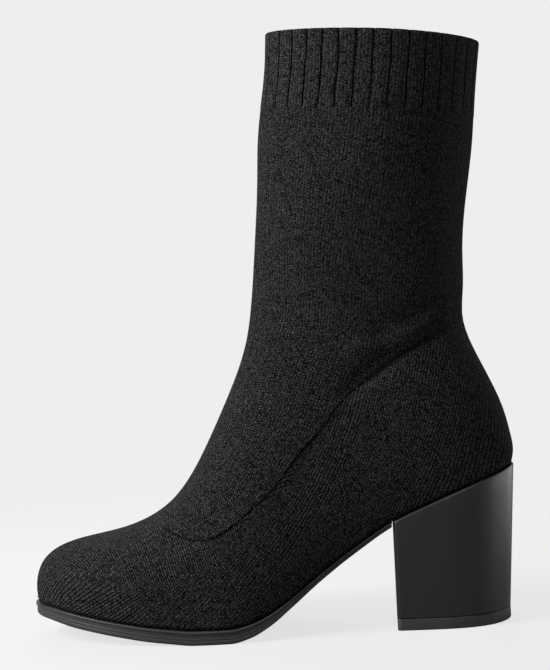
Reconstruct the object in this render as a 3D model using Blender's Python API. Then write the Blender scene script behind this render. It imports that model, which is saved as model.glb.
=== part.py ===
"""Knitted ankle sock boot on a block heel, for the left foot.

The toe points to -X, the outer side of the foot is -Y, and the floor is z = 0.
Every piece follows the same few lines of the last: the foot line that the upper stands on,
the outline of the sole, the front line over toe, instep and shin, and the back line over the heel.
Lengths are in metres, and the tables hold shares of the named sizes.
"""

from math import radians

import bmesh
import bpy
import numpy as np

# Driving sizes of the whole boot
LENGTH = 0.240  # toe tip to the back of the heel
BALL_WIDTH = 0.088  # across the ball of the foot
HEEL_WIDTH = 0.057  # across the heel seat
HEEL_LENGTH = 0.0602  # breast to back, at the seat
HEEL_HEIGHT = 0.0733  # floor to the underside of the seat at the back
TOE_SPRING = 0.011  # height of the sole's tip above the floor
FOOT_HEIGHT = 0.085  # heel seat to the bend of the ankle
SHAFT_HEIGHT = 0.130  # bend of the ankle to the front of the collar
SHAFT_DEPTH = 0.1025  # shin to calf
SHAFT_WIDTH = 0.072  # across the collar
ANKLE_WIDTH = 0.067  # across the ankle
COLLAR_DROP = 0.0102  # the collar is this much lower at the back

# Upper
KNIT_WALL = 0.0020
CUFF_WALL = 0.0030
COLLAR_ROUND = 0.0008
RIB_COUNT = 32
RIB_GROOVE_WIDTH = 0.0014
RIB_GROOVE_DEPTH = 0.0010
FEATHER_INSET = 0.0012  # the sole stands out this far around the upper

# Sole, heel and insole
SOLE_THICKNESS = 0.0065
WAIST_THICKNESS = 0.0022
SOLE_LIP = 0.0005  # the sole's top edge stands out this far over its side
HEEL_BACK_TAPER = 0.0045
HEEL_SIDE_TAPER = 0.0014
HEEL_CORNER = 0.0022  # radius of the upright edges at the breast
HEEL_TOP_BEVEL = 0.0005
TOP_PIECE_THICKNESS = 0.0055
INSOLE_THICKNESS = 0.0025
INSOLE_CLEARANCE = 0.0009
GAP = 0.0003  # between pieces that touch

# Mesh density
HALF_RING = RIB_COUNT // 2  # steps down each side of a ring, so that a point lies in each groove
RINGS_PER_SECTION = 4
SOLE_STATIONS = 49
HEEL_STATIONS = 13
CURVE_SAMPLES = 481
SECTION_SAMPLES = 121
JOIN_DISTANCE = 0.000001
SMOOTH_ANGLE = radians(40)

# Foot line: shares of LENGTH, TOE_SPRING and HEEL_HEIGHT, and of the full sole thickness
FOOT_LINE = np.array([
    # along, spring, lift, full
    (0.00, 1.00, 0.000, 0.62),
    (0.04, 0.95, 0.000, 0.85),
    (0.10, 0.73, 0.000, 1.00),
    (0.15, 0.55, 0.000, 1.00),
    (0.20, 0.38, 0.000, 1.00),
    (0.25, 0.22, 0.000, 1.00),
    (0.30, 0.10, 0.000, 1.00),
    (0.35, 0.00, 0.000, 1.00),
    (0.42, 0.00, 0.000, 1.00),
    (0.46, 0.00, 0.030, 0.93),
    (0.50, 0.00, 0.097, 0.72),
    (0.54, 0.00, 0.195, 0.44),
    (0.60, 0.00, 0.353, 0.22),
    (0.68, 0.00, 0.540, 0.08),
    (0.75, 0.00, 0.685, 0.00),
    (0.82, 0.00, 0.785, 0.00),
    (0.90, 0.00, 0.888, 0.00),
    (1.00, 0.00, 1.000, 0.00),
])

# Outline of the sole: how far the width there is the ball's, and shares of that half width
OUTLINE = np.array([
    # along, ball, outer, inner
    (0.00, 1.00, -0.136, 0.136),
    (0.02, 1.00, 0.250, 0.432),
    (0.05, 1.00, 0.455, 0.614),
    (0.10, 1.00, 0.670, 0.784),
    (0.20, 1.00, 0.886, 0.943),
    (0.28, 1.00, 0.973, 1.000),
    (0.37, 1.00, 1.000, 0.968),
    (0.45, 0.93, 0.986, 0.828),
    (0.50, 0.78, 0.968, 0.751),
    (0.55, 0.55, 0.960, 0.716),
    (0.60, 0.33, 0.958, 0.717),
    (0.65, 0.16, 0.968, 0.755),
    (0.70, 0.05, 0.990, 0.819),
    (0.75, 0.00, 1.005, 0.880),
    (0.80, 0.00, 1.015, 0.935),
    (0.85, 0.00, 1.010, 0.965),
    (0.90, 0.00, 0.960, 0.930),
    (0.95, 0.00, 0.780, 0.765),
    (0.98, 0.00, 0.520, 0.510),
    (1.00, 0.00, 0.000, 0.000),
])

# Front line from above the toe tip to the collar: shares of LENGTH, SHAFT_DEPTH, TOE_SPRING,
# the seat's height, FOOT_HEIGHT and SHAFT_HEIGHT
FRONT_LINE = np.array([
    # along, deep, spring, lift, rise, shaft
    (0.0045, 0.0, 1.00, 0.00, 0.135, 0.00),
    (0.0075, 0.0, 1.00, 0.00, 0.218, 0.00),
    (0.0200, 0.0, 1.00, 0.00, 0.295, 0.00),
    (0.0455, 0.0, 0.95, 0.00, 0.363, 0.00),
    (0.0850, 0.0, 0.80, 0.00, 0.426, 0.00),
    (0.1350, 0.0, 0.60, 0.00, 0.482, 0.00),
    (0.1900, 0.0, 0.40, 0.00, 0.542, 0.00),
    (0.2400, 0.0, 0.20, 0.03, 0.593, 0.00),
    (0.2900, 0.0, 0.00, 0.10, 0.644, 0.00),
    (0.3310, 0.0, 0.00, 0.20, 0.681, 0.00),
    (0.3670, 0.0, 0.00, 0.34, 0.718, 0.00),
    (0.4000, 0.0, 0.00, 0.50, 0.756, 0.00),
    (0.5660, 0.3, 0.00, 0.70, 0.805, 0.00),
    (0.7670, 0.7, 0.00, 0.90, 0.853, 0.00),
    (0.9110, 1.0, 0.00, 1.00, 1.000, 0.00),
    (0.9240, 1.0, 0.00, 1.00, 1.000, 0.23),
    (0.9346, 1.0, 0.00, 1.00, 1.000, 0.46),
    (0.9400, 1.0, 0.00, 1.00, 1.000, 0.60),
    (0.9480, 1.0, 0.00, 1.00, 1.000, 0.71),
    (0.9580, 1.0, 0.00, 1.00, 1.000, 0.82),
    (0.9665, 1.0, 0.00, 1.00, 1.000, 1.00),
])

# Back line from above the seat to the collar: shares of LENGTH, FOOT_HEIGHT and the shaft's height
BACK_LINE = np.array([
    # along, rise, shaft
    (1.0000, 0.075, 0.00),
    (0.9965, 0.160, 0.00),
    (0.9865, 0.290, 0.00),
    (0.9630, 0.467, 0.00),
    (0.9338, 0.643, 0.00),
    (0.9160, 0.770, 0.00),
    (0.9100, 0.876, 0.00),
    (0.9135, 1.000, 0.00),
    (0.9165, 1.000, 0.16),
    (0.9350, 1.000, 0.44),
    (0.9470, 1.000, 0.60),
    (0.9560, 1.000, 0.78),
    (0.9700, 1.000, 1.00),
])

# Sections of the upper. Each runs from a share of the front line's length down to a share along
# the foot and then, behind the heel, to a share of the back line's length. Its half width adds
# shares of the ball's, the ankle's and the shaft's. It is widest at a share of the way down, its
# top lies inward by a share of the toe tip's place, powers round its crown and its two sides,
# and its points draw together at both ends by a share.
SECTIONS = np.array([
    # front, foot, back, ball, ankle, shaft, widest, inward, crown, outer side, inner side, draw
    (0.000, 0.000, 0.000, 0.000, 0.00, 0.00, 0.50, 1.00, 2.0, 2.0, 2.0, 0.0),
    (0.045, 0.012, 0.000, 0.265, 0.00, 0.00, 0.66, 1.00, 2.0, 2.2, 2.2, 0.0),
    (0.100, 0.055, 0.000, 0.545, 0.00, 0.00, 0.68, 0.95, 2.1, 2.3, 2.3, 0.1),
    (0.156, 0.145, 0.000, 0.815, 0.00, 0.00, 0.70, 0.90, 2.1, 2.3, 2.3, 0.2),
    (0.235, 0.270, 0.000, 0.958, 0.00, 0.00, 0.70, 0.80, 2.0, 2.2, 2.4, 0.3),
    (0.320, 0.400, 0.000, 0.945, 0.00, 0.00, 0.68, 0.70, 2.0, 2.2, 2.4, 0.4),
    (0.421, 0.530, 0.000, 0.500, 0.46, 0.00, 0.60, 0.40, 2.0, 2.2, 2.3, 0.5),
    (0.510, 0.680, 0.000, 0.000, 1.00, 0.00, 0.50, 0.15, 2.0, 2.3, 2.3, 0.6),
    (0.580, 0.840, 0.000, 0.000, 1.00, 0.00, 0.44, 0.05, 2.0, 2.4, 2.4, 0.7),
    (0.625, 1.000, 0.000, 0.000, 1.00, 0.00, 0.42, 0.00, 2.0, 2.4, 2.4, 0.7),
    (0.700, 1.000, 0.250, 0.000, 0.80, 0.20, 0.44, 0.00, 2.0, 2.4, 2.4, 0.5),
    (0.790, 1.000, 0.520, 0.000, 0.30, 0.70, 0.50, 0.00, 1.9, 2.1, 2.1, 0.2),
    (0.884, 1.000, 0.818, 0.000, 0.00, 1.00, 0.56, 0.00, 1.7, 1.8, 1.8, 0.0),
    (1.000, 1.000, 1.000, 0.000, 0.00, 1.00, 0.56, 0.00, 1.7, 1.8, 1.8, 0.0),
])
HEEL_SECTION = 9  # the section that ends at the back of the seat
CUFF_SECTION = 12  # the section at the foot of the ribbed cuff
COLLAR_SECTION = 13

# Side of the sole from the floor up: shares of SOLE_LIP inward and of the thickness upward
SOLE_SIDE = ((1.8, 0.00), (1.0, 0.14), (1.0, 0.80), (0.0, 0.84), (0.0, 1.00))

# Colours
KNIT_BLACK = (0.012, 0.012, 0.013, 1.0)
SOLE_GREY = (0.030, 0.031, 0.033, 1.0)
HEEL_BLACK = (0.016, 0.016, 0.017, 1.0)
TOP_PIECE_BLACK = (0.022, 0.022, 0.023, 1.0)
INSOLE_BLACK = (0.020, 0.019, 0.018, 1.0)


def ease(at, known, values):
    """Smooth curve through a table's column that never overshoots its rows."""
    step = np.diff(known)
    slope = np.diff(values) / step
    tangent = np.concatenate([slope[:1], np.zeros(len(slope) - 1), slope[-1:]])
    same_way = slope[:-1] * slope[1:] > 0
    near = 2 * step[1:] + step[:-1]
    far = step[1:] + 2 * step[:-1]
    before = np.where(same_way, slope[:-1], 1.0)
    after = np.where(same_way, slope[1:], 1.0)
    tangent[1:-1] = np.where(same_way, (near + far) / (near / before + far / after), 0.0)
    at = np.clip(at, known[0], known[-1])
    row = np.clip(np.searchsorted(known, at, side="right") - 1, 0, len(step) - 1)
    part = (at - known[row]) / step[row]
    return (
        values[row] * (1 + 2 * part) * (1 - part) ** 2
        + values[row + 1] * part**2 * (3 - 2 * part)
        + tangent[row] * step[row] * part * (1 - part) ** 2
        - tangent[row + 1] * step[row] * part**2 * (1 - part)
    )


def spline(at, known, values):
    """Cubic curve through points with an even bend from each to the next."""
    count = len(known)
    step = np.diff(known)
    slope = np.diff(values, axis=0) / step[:, None]
    inner = np.arange(1, count - 1)
    system = np.eye(count)
    system[inner, inner - 1] = step[:-1]
    system[inner, inner] = 2 * (step[:-1] + step[1:])
    system[inner, inner + 1] = step[1:]
    bend = np.zeros((count, values.shape[1]))
    bend[1:-1] = 6 * (slope[1:] - slope[:-1])
    bend = np.linalg.solve(system, bend)
    row = np.clip(np.searchsorted(known, at, side="right") - 1, 0, count - 2)
    width = step[row][:, None]
    left = (at - known[row])[:, None]
    right = width - left
    return (
        values[row] * right / width
        + values[row + 1] * left / width
        - bend[row] * right * left * (width + right) / (6 * width)
        - bend[row + 1] * left * right * (width + left) / (6 * width)
    )


def path_length(points):
    """Length run along a path up to each of its points."""
    return np.concatenate([[0], np.cumsum(np.linalg.norm(np.diff(points, axis=0), axis=1))])


def on_path(points, run, share):
    """Places at shares of the whole run of a path."""
    return np.stack([np.interp(share * run[-1], run, column) for column in points.T], axis=-1)


def on_smooth_line(points, share):
    """Places at shares of the length of a smooth line through points."""
    rough = path_length(points)
    dense = spline(np.linspace(0, rough[-1], CURVE_SAMPLES), rough, points)
    return on_path(dense, path_length(dense), share)


def tread_height(x):
    """Underside of the sole above the floor."""
    along = x / LENGTH + 0.5
    spring = ease(along, FOOT_LINE[:, 0], FOOT_LINE[:, 1])
    lift = ease(along, FOOT_LINE[:, 0], FOOT_LINE[:, 2])
    return spring * TOE_SPRING + lift * HEEL_HEIGHT


def foot_height(x):
    """Foot line: top of the sole, and behind the breast the top of the heel's seat."""
    full = ease(x / LENGTH + 0.5, FOOT_LINE[:, 0], FOOT_LINE[:, 3])
    return tread_height(x) + WAIST_THICKNESS + full * (SOLE_THICKNESS - WAIST_THICKNESS)


def outline(along, inset):
    """Points (x, y) of the sole's outer and inner edge, drawn in by an inset."""
    turn = np.arccos(1 - 2 * np.clip(along, 0, 1))
    known = np.arccos(1 - 2 * OUTLINE[:, 0])
    ball = ease(turn, known, OUTLINE[:, 1])
    half = ball * (BALL_WIDTH / 2 - inset) + (1 - ball) * (HEEL_WIDTH / 2 - inset)
    x = (along - 0.5) * (LENGTH - 2 * inset)
    outer = np.stack([x, -half * ease(turn, known, OUTLINE[:, 2])], axis=-1)
    inner = np.stack([x, half * ease(turn, known, OUTLINE[:, 3])], axis=-1)
    return outer, inner


def end_point(along):
    """Tip or back of the upper's outline on the foot line, as a point (x, z)."""
    x = (along - 0.5) * (LENGTH - 2 * FEATHER_INSET)
    return np.array([[x, foot_height(x) + GAP]])


def front_line(share):
    """Front of the boot as (x, z), from the toe tip over the instep to the collar."""
    along, deep, spring, lift, rise, shaft = FRONT_LINE.T
    seat = HEEL_HEIGHT + WAIST_THICKNESS
    x = (along - 0.5) * LENGTH - deep * SHAFT_DEPTH
    z = spring * TOE_SPRING + lift * seat + rise * FOOT_HEIGHT + shaft * SHAFT_HEIGHT
    return on_smooth_line(np.concatenate([end_point(0), np.stack([x, z], axis=-1)]), share)


def back_line(share):
    """Back of the boot as (x, z), from the heel seat to the collar."""
    along, rise, shaft = BACK_LINE.T
    seat = HEEL_HEIGHT + WAIST_THICKNESS
    x = (along - 0.5) * LENGTH
    z = seat + rise * FOOT_HEIGHT + shaft * (SHAFT_HEIGHT - COLLAR_DROP)
    return on_smooth_line(np.concatenate([end_point(1), np.stack([x, z], axis=-1)]), share)


def half_section(top, end, end_half, half_width, widest, crown, draw, side):
    """Points down one side of a section: places on its middle line, and breadths.

    The breadth grows from the top as a superellipse of power crown to half_width at the share
    widest of the way down, and shrinks after it as a superellipse of power side to end_half.
    """
    down = (1 - np.cos(np.linspace(0, np.pi, SECTION_SAMPLES))) / 2
    above = np.clip((widest - down) / widest, 0, 1)
    reach = (1 - widest) / (1 - min(end_half / half_width, 0.999) ** side) ** (1 / side)
    below = np.clip((down - widest) / reach, 0, 1)
    upper_part = (1 - above**crown) ** (1 / crown)
    lower_part = (1 - below**side) ** (1 / side)
    breadth = half_width * np.where(down < widest, upper_part, lower_part)
    path = np.column_stack([top + (end - top) * down[:, None], breadth])
    even = np.linspace(0, 1, HALF_RING + 1)
    drawn = on_path(path, path_length(path), even - draw * np.sin(2 * np.pi * even) / (2 * np.pi))
    return drawn[:, :3], drawn[:, 3]


def upper_rings(at):
    """Points of the upper's outside, a ring for each place between the rows of SECTIONS.

    A ring runs from its section's end on the outer side over the top to the inner side.
    """
    rows = np.arange(len(SECTIONS))
    columns = [ease(at, rows, column) for column in SECTIONS.T]
    front, foot, back, ball, ankle, shaft = columns[:6]
    widest, inward, crown, outer_side, inner_side, draw = columns[6:]
    half = (ball * BALL_WIDTH + ankle * ANKLE_WIDTH + shaft * SHAFT_WIDTH) / 2
    outer, inner = outline(foot, FEATHER_INSET)
    toe_inward = OUTLINE[0, 3] * BALL_WIDTH / 2
    top_line = front_line(front)
    heel_line = back_line(back)
    rings = []
    for ring, place in enumerate(at):
        top = np.array([top_line[ring, 0], inward[ring] * toe_inward, top_line[ring, 1]])
        if place == 0:
            rings.append(np.tile(top, (2 * HALF_RING + 1, 1)))
            continue
        end = np.array([heel_line[ring, 0], 0, heel_line[ring, 1]])
        end_half = 0
        if place < HEEL_SECTION:
            x, middle = (outer[ring] + inner[ring]) / 2
            end = np.array([x, middle, foot_height(x) + GAP])
            end_half = inner[ring, 1] - middle
        shape = (half[ring], widest[ring], crown[ring], draw[ring])
        outer_points, outer_breadth = half_section(top, end, end_half, *shape, outer_side[ring])
        inner_points, inner_breadth = half_section(top, end, end_half, *shape, inner_side[ring])
        outer_points[:, 1] -= outer_breadth
        inner_points[:, 1] += inner_breadth
        rings.append(np.concatenate([outer_points[::-1], inner_points[1:]]))
    return np.array(rings)


def ring_normals(rings, at):
    """Outward normals of the upper's rings, which are closed from HEEL_SECTION on."""
    normals = np.cross(np.gradient(rings, axis=0), np.gradient(rings, axis=1))
    closed = at >= HEEL_SECTION
    seam = normals[closed, 0] + normals[closed, -1]
    normals[closed, 0] = seam
    normals[closed, -1] = seam
    normals[at == 0] = (-1, 0, 0)
    normals[at == HEEL_SECTION, :: 2 * HALF_RING] = (1, 0, 0)
    return normals / np.linalg.norm(normals, axis=2, keepdims=True)


def finished(name, mesh, colour, roughness):
    """Links a mesh as a named object with its own material."""
    material = bpy.data.materials.new(name)
    material.use_nodes = True
    surface = material.node_tree.nodes["Principled BSDF"]
    surface.inputs["Base Color"].default_value = colour
    surface.inputs["Roughness"].default_value = roughness
    surface.inputs["Metallic"].default_value = 0.0
    mesh.materials.append(material)
    mesh.shade_smooth()
    mesh.set_sharp_from_angle(angle=SMOOTH_ANGLE)
    item = bpy.data.objects.new(name, mesh)
    bpy.context.scene.collection.objects.link(item)
    return item


def closed_mesh(name, points, faces):
    """Mesh of points and faces, with doubled points joined and the faces turned outward."""
    shape = bmesh.new()
    corners = [shape.verts.new(point) for point in points]
    for face in faces:
        shape.faces.new([corners[number] for number in face])
    bmesh.ops.remove_doubles(shape, verts=shape.verts, dist=JOIN_DISTANCE)
    bmesh.ops.recalc_face_normals(shape, faces=shape.faces)
    mesh = bpy.data.meshes.new(name)
    shape.to_mesh(mesh)
    shape.free()
    return mesh


def layered_mesh(name, layers):
    """Closed mesh through layers of outer and inner edge points, from the bottom to the top."""
    count = len(layers[0][0])
    around = 2 * count
    points = np.concatenate([np.concatenate([outer, inner[::-1]]) for outer, inner in layers])
    faces = []
    for low in range(0, (len(layers) - 1) * around, around):
        for corner in range(around):
            after = (corner + 1) % around
            faces.append((low + corner, low + after, low + around + after, low + around + corner))
    for first in (0, (len(layers) - 1) * around):
        for corner in range(count - 1):
            across = first + around - 1 - corner
            faces.append((first + corner, first + corner + 1, across - 1, across))
    return closed_mesh(name, points, faces)


def edge_layer(edges, heights):
    """Outer and inner edge points (x, y) raised to heights."""
    return [np.column_stack([edge, heights]) for edge in edges]


def ring_places():
    """Places of the upper's rings: closer together round the heel, and at both ends of the cuff."""
    even = np.linspace(0, CUFF_SECTION, CUFF_SECTION * RINGS_PER_SECTION + 1)
    heel = HEEL_SECTION + np.arange(1 - 2 * RINGS_PER_SECTION, 2 * RINGS_PER_SECTION, 2) / (2 * RINGS_PER_SECTION)
    cuff = CUFF_SECTION + np.array([0.1, 0.5, 0.97, 1.0])
    return np.sort(np.concatenate([even, heel, cuff]))


def make_upper():
    """Knitted upper: one hollow wall, open at the collar and along the sole, thicker in the cuff."""
    at = ring_places()
    outside = upper_rings(at)
    normals = ring_normals(outside, at)
    wall = np.where(at > CUFF_SECTION, CUFF_WALL, KNIT_WALL)[:, None, None]
    inside = outside - wall * normals
    inside[-1] += COLLAR_ROUND * normals[-1]
    outside[-1] -= COLLAR_ROUND * normals[-1]
    on_foot = at < HEEL_SECTION
    for edge in (0, -1):
        inside[on_foot, edge, 2] = foot_height(inside[on_foot, edge, 0]) + GAP
    inside[at == HEEL_SECTION, :: 2 * HALF_RING, 2] = foot_height(LENGTH / 2) + GAP
    ring_size = 2 * HALF_RING + 1
    count = len(at) * ring_size
    points = np.concatenate([outside.reshape(-1, 3), inside.reshape(-1, 3)])
    faces = []
    for ring in range(len(at) - 1):
        for corner in range(ring_size - 1):
            first = ring * ring_size + corner
            quad = [first, first + 1, first + ring_size + 1, first + ring_size]
            if corner >= HALF_RING:
                quad = quad[1:] + quad[:1]  # splits the quads of both sides alike
            faces.append(quad)
            faces.append([number + count for number in quad[:1] + quad[:0:-1]])
        if on_foot[ring]:
            for first in (ring * ring_size, (ring + 1) * ring_size - 1):
                after = first + ring_size
                faces.append((first, after, after + count, first + count))
    for first in range(count - ring_size, count - 1):
        faces.append((first, first + 1, first + 1 + count, first + count))
    upper = finished("upper", closed_mesh("upper", points, faces), KNIT_BLACK, 0.9)
    cut = upper.modifiers.new("rib_grooves", "BOOLEAN")
    cut.operation = "DIFFERENCE"
    cut.solver = "EXACT"
    cut.object = make_rib_cutter()
    return upper


def make_rib_cutter():
    """Wedges that cut the grooves between the ribs, one down each point of the cuff's rings."""
    at = np.array([CUFF_SECTION + 0.03, CUFF_SECTION + 0.5, COLLAR_SECTION])
    rings = upper_rings(at)
    normals = ring_normals(rings, at)
    sideways = np.gradient(rings, axis=1)
    sideways /= np.linalg.norm(sideways, axis=2, keepdims=True)
    rings[-1] += 2 * RIB_GROOVE_DEPTH * (rings[-1] - rings[-2]) / np.linalg.norm(rings[-1, 0] - rings[-2, 0])
    out = RIB_GROOVE_DEPTH
    spread = RIB_GROOVE_WIDTH / 2 * (1 + out / RIB_GROOVE_DEPTH)
    points = []
    faces = []
    for groove in range(1, 2 * HALF_RING):
        first = len(points)
        for ring in range(len(at)):
            place = rings[ring, groove]
            points.append(place - RIB_GROOVE_DEPTH * normals[ring, groove])
            points.append(place + out * normals[ring, groove] + spread * sideways[ring, groove])
            points.append(place + out * normals[ring, groove] - spread * sideways[ring, groove])
        last = first + 3 * (len(at) - 1)
        faces.append((first, first + 1, first + 2))
        faces.append((last + 2, last + 1, last))
        for low in range(first, last, 3):
            for corner in range(3):
                after = (corner + 1) % 3
                faces.append((low + after, low + corner, low + 3 + corner, low + 3 + after))
    cutter = finished("rib_cutter", closed_mesh("rib_cutter", points, faces), KNIT_BLACK, 0.9)
    cutter.hide_render = True
    cutter.display_type = "WIRE"
    return cutter


def sole_stations(first, last):
    """Shares of the length from first to last, closer together at a round end."""
    turn = np.linspace(np.arccos(1 - 2 * first), np.arccos(1 - 2 * last), SOLE_STATIONS)
    return (1 - np.cos(turn)) / 2


def make_outsole():
    """Outsole from the toe to the heel's breast: stepped side, arch, and a flat under the ball."""
    breast = 1 - (HEEL_LENGTH + GAP) / LENGTH
    along = sole_stations(0, breast)
    layers = []
    for inward, up in SOLE_SIDE:
        edges = outline(along, inward * SOLE_LIP)
        x = edges[0][:, 0]
        heights = tread_height(x) + up * (foot_height(x) - tread_height(x))
        layers.append(edge_layer(edges, heights))
    return finished("outsole", layered_mesh("outsole", layers), SOLE_GREY, 0.6)


def heel_edges(up, inset):
    """Outer and inner edge of the heel at a share of its height, as a D with a round back."""
    corner = np.array([0, 0.13, 0.5]) * HEEL_CORNER
    turn = np.linspace(np.arccos(1 - 2 * (1 - (HEEL_LENGTH - HEEL_CORNER) / LENGTH)), np.pi, HEEL_STATIONS)
    along = np.concatenate([1 - (HEEL_LENGTH - corner) / LENGTH, (1 - np.cos(turn)) / 2])
    breast = LENGTH / 2 - HEEL_LENGTH
    cut = np.zeros(len(along))
    cut[: len(corner)] = HEEL_CORNER - np.sqrt(HEEL_CORNER**2 - (HEEL_CORNER - corner) ** 2)
    edges = []
    for edge, side in zip(outline(along, 0), (-1, 1)):
        edge[:, 0] = breast + (edge[:, 0] - breast) * (1 - ((1 - up) * HEEL_BACK_TAPER + inset) / HEEL_LENGTH)
        edge[:, 1] *= 1 - 2 * ((1 - up) * HEEL_SIDE_TAPER + inset) / HEEL_WIDTH
        edge[:, 1] -= side * cut
        edges.append(edge)
    return edges


def make_heel():
    """Block heel, tapering down from the sloping seat to the top piece."""
    floor = TOP_PIECE_THICKNESS + GAP
    layers = []
    for up, inset in ((0, 0), (1, 0), (1, HEEL_TOP_BEVEL)):
        edges = heel_edges(up, inset)
        seat = foot_height(edges[0][:, 0]) - (0 if inset else HEEL_TOP_BEVEL)
        layers.append(edge_layer(edges, seat if up else np.full(len(seat), floor)))
    return finished("heel", layered_mesh("heel", layers), HEEL_BLACK, 0.35)


def make_top_piece():
    """Top piece: the flat plate under the heel that meets the floor."""
    edges = heel_edges(0, 0)
    count = len(edges[0])
    layers = [edge_layer(edges, np.full(count, height)) for height in (0, TOP_PIECE_THICKNESS)]
    return finished("top_piece", layered_mesh("top_piece", layers), TOP_PIECE_BLACK, 0.5)


def make_insole():
    """Insole: a plate on the foot line, inside the upper from toe to heel."""
    edges = outline(sole_stations(0, 1), FEATHER_INSET + KNIT_WALL + INSOLE_CLEARANCE)
    bottom = foot_height(edges[0][:, 0]) + GAP
    layers = [edge_layer(edges, bottom), edge_layer(edges, bottom + INSOLE_THICKNESS)]
    return finished("insole", layered_mesh("insole", layers), INSOLE_BLACK, 0.8)


def main():
    """Clears the scene and makes every piece."""
    for item in list(bpy.data.objects):
        bpy.data.objects.remove(item, do_unlink=True)
    make_upper()
    make_outsole()
    make_heel()
    make_top_piece()
    make_insole()


main()
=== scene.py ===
"""Looks of a knitted sock boot on a block heel: fine surfaces, yarn, rubber, lacquer and a studio.

The toe points to -X, the outer side of the foot is -Y and the floor is z = 0. Every piece follows
the same lines of the last: the foot line that the upper stands on, the outline of the sole, the
front line over toe, instep and shin, and the back line over the heel. Lengths are in metres, and
the tables hold shares of the named sizes.
"""

import logging
from dataclasses import dataclass, field
from enum import Enum
from math import pi, radians

import bpy
import numpy as np
from mathutils import Matrix, Vector


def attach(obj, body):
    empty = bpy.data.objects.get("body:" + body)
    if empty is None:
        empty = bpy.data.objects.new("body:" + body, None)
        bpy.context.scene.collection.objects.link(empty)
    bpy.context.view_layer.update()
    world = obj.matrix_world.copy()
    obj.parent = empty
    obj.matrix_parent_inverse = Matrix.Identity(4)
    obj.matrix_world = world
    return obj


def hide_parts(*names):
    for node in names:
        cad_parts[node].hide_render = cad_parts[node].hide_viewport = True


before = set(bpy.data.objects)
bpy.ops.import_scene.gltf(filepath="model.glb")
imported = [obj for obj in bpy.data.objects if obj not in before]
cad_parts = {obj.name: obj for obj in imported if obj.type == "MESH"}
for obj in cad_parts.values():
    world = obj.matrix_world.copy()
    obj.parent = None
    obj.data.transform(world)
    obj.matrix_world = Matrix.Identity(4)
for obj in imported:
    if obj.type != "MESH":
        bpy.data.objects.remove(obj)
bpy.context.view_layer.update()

Array = np.ndarray
Socket = bpy.types.NodeSocket
MILLIMETRE = 0.001
BODY = "root"
CURVE_SAMPLES = 481
SECTION_SAMPLES = 241
GORE_SAMPLES = 80
FOLD_SAMPLES = 24
SHARP_TURN = radians(40)  # edges that turn by more stay sharp
KNIT_SHARP_TURN = radians(60)
SOLE_SHARP_TURN = radians(50)
WELD_DISTANCE = 1e-6
TINY = 1e-12  # keeps a quotient finite

report = logging.getLogger("boot")

# Foot line: shares of length, toe spring and heel height, and of the full sole thickness
FOOT_LINE = np.array([
    # along, spring, lift, full
    (0.00, 1.00, 0.000, 0.62),
    (0.04, 0.95, 0.000, 0.85),
    (0.10, 0.73, 0.000, 1.00),
    (0.15, 0.55, 0.000, 1.00),
    (0.20, 0.38, 0.000, 1.00),
    (0.25, 0.22, 0.000, 1.00),
    (0.30, 0.10, 0.000, 1.00),
    (0.35, 0.00, 0.000, 1.00),
    (0.42, 0.00, 0.000, 1.00),
    (0.46, 0.00, 0.030, 0.93),
    (0.50, 0.00, 0.097, 0.72),
    (0.54, 0.00, 0.195, 0.44),
    (0.60, 0.00, 0.353, 0.22),
    (0.68, 0.00, 0.540, 0.08),
    (0.75, 0.00, 0.685, 0.00),
    (0.82, 0.00, 0.785, 0.00),
    (0.90, 0.00, 0.888, 0.00),
    (1.00, 0.00, 1.000, 0.00),
])

# Outline of the sole: how far the width there is the ball's, and shares of that half width
OUTLINE = np.array([
    # along, ball, outer, inner
    (0.00, 1.00, -0.136, 0.136),
    (0.02, 1.00, 0.250, 0.432),
    (0.05, 1.00, 0.455, 0.614),
    (0.10, 1.00, 0.670, 0.784),
    (0.20, 1.00, 0.886, 0.943),
    (0.28, 1.00, 0.973, 1.000),
    (0.37, 1.00, 1.000, 0.968),
    (0.45, 0.93, 0.986, 0.828),
    (0.50, 0.78, 0.968, 0.751),
    (0.55, 0.55, 0.960, 0.716),
    (0.60, 0.33, 0.958, 0.717),
    (0.65, 0.16, 0.968, 0.755),
    (0.70, 0.05, 0.990, 0.819),
    (0.75, 0.00, 1.005, 0.880),
    (0.80, 0.00, 1.015, 0.935),
    (0.85, 0.00, 1.010, 0.965),
    (0.90, 0.00, 0.960, 0.930),
    (0.95, 0.00, 0.780, 0.765),
    (0.98, 0.00, 0.520, 0.510),
    (1.00, 0.00, 0.000, 0.000),
])

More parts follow.
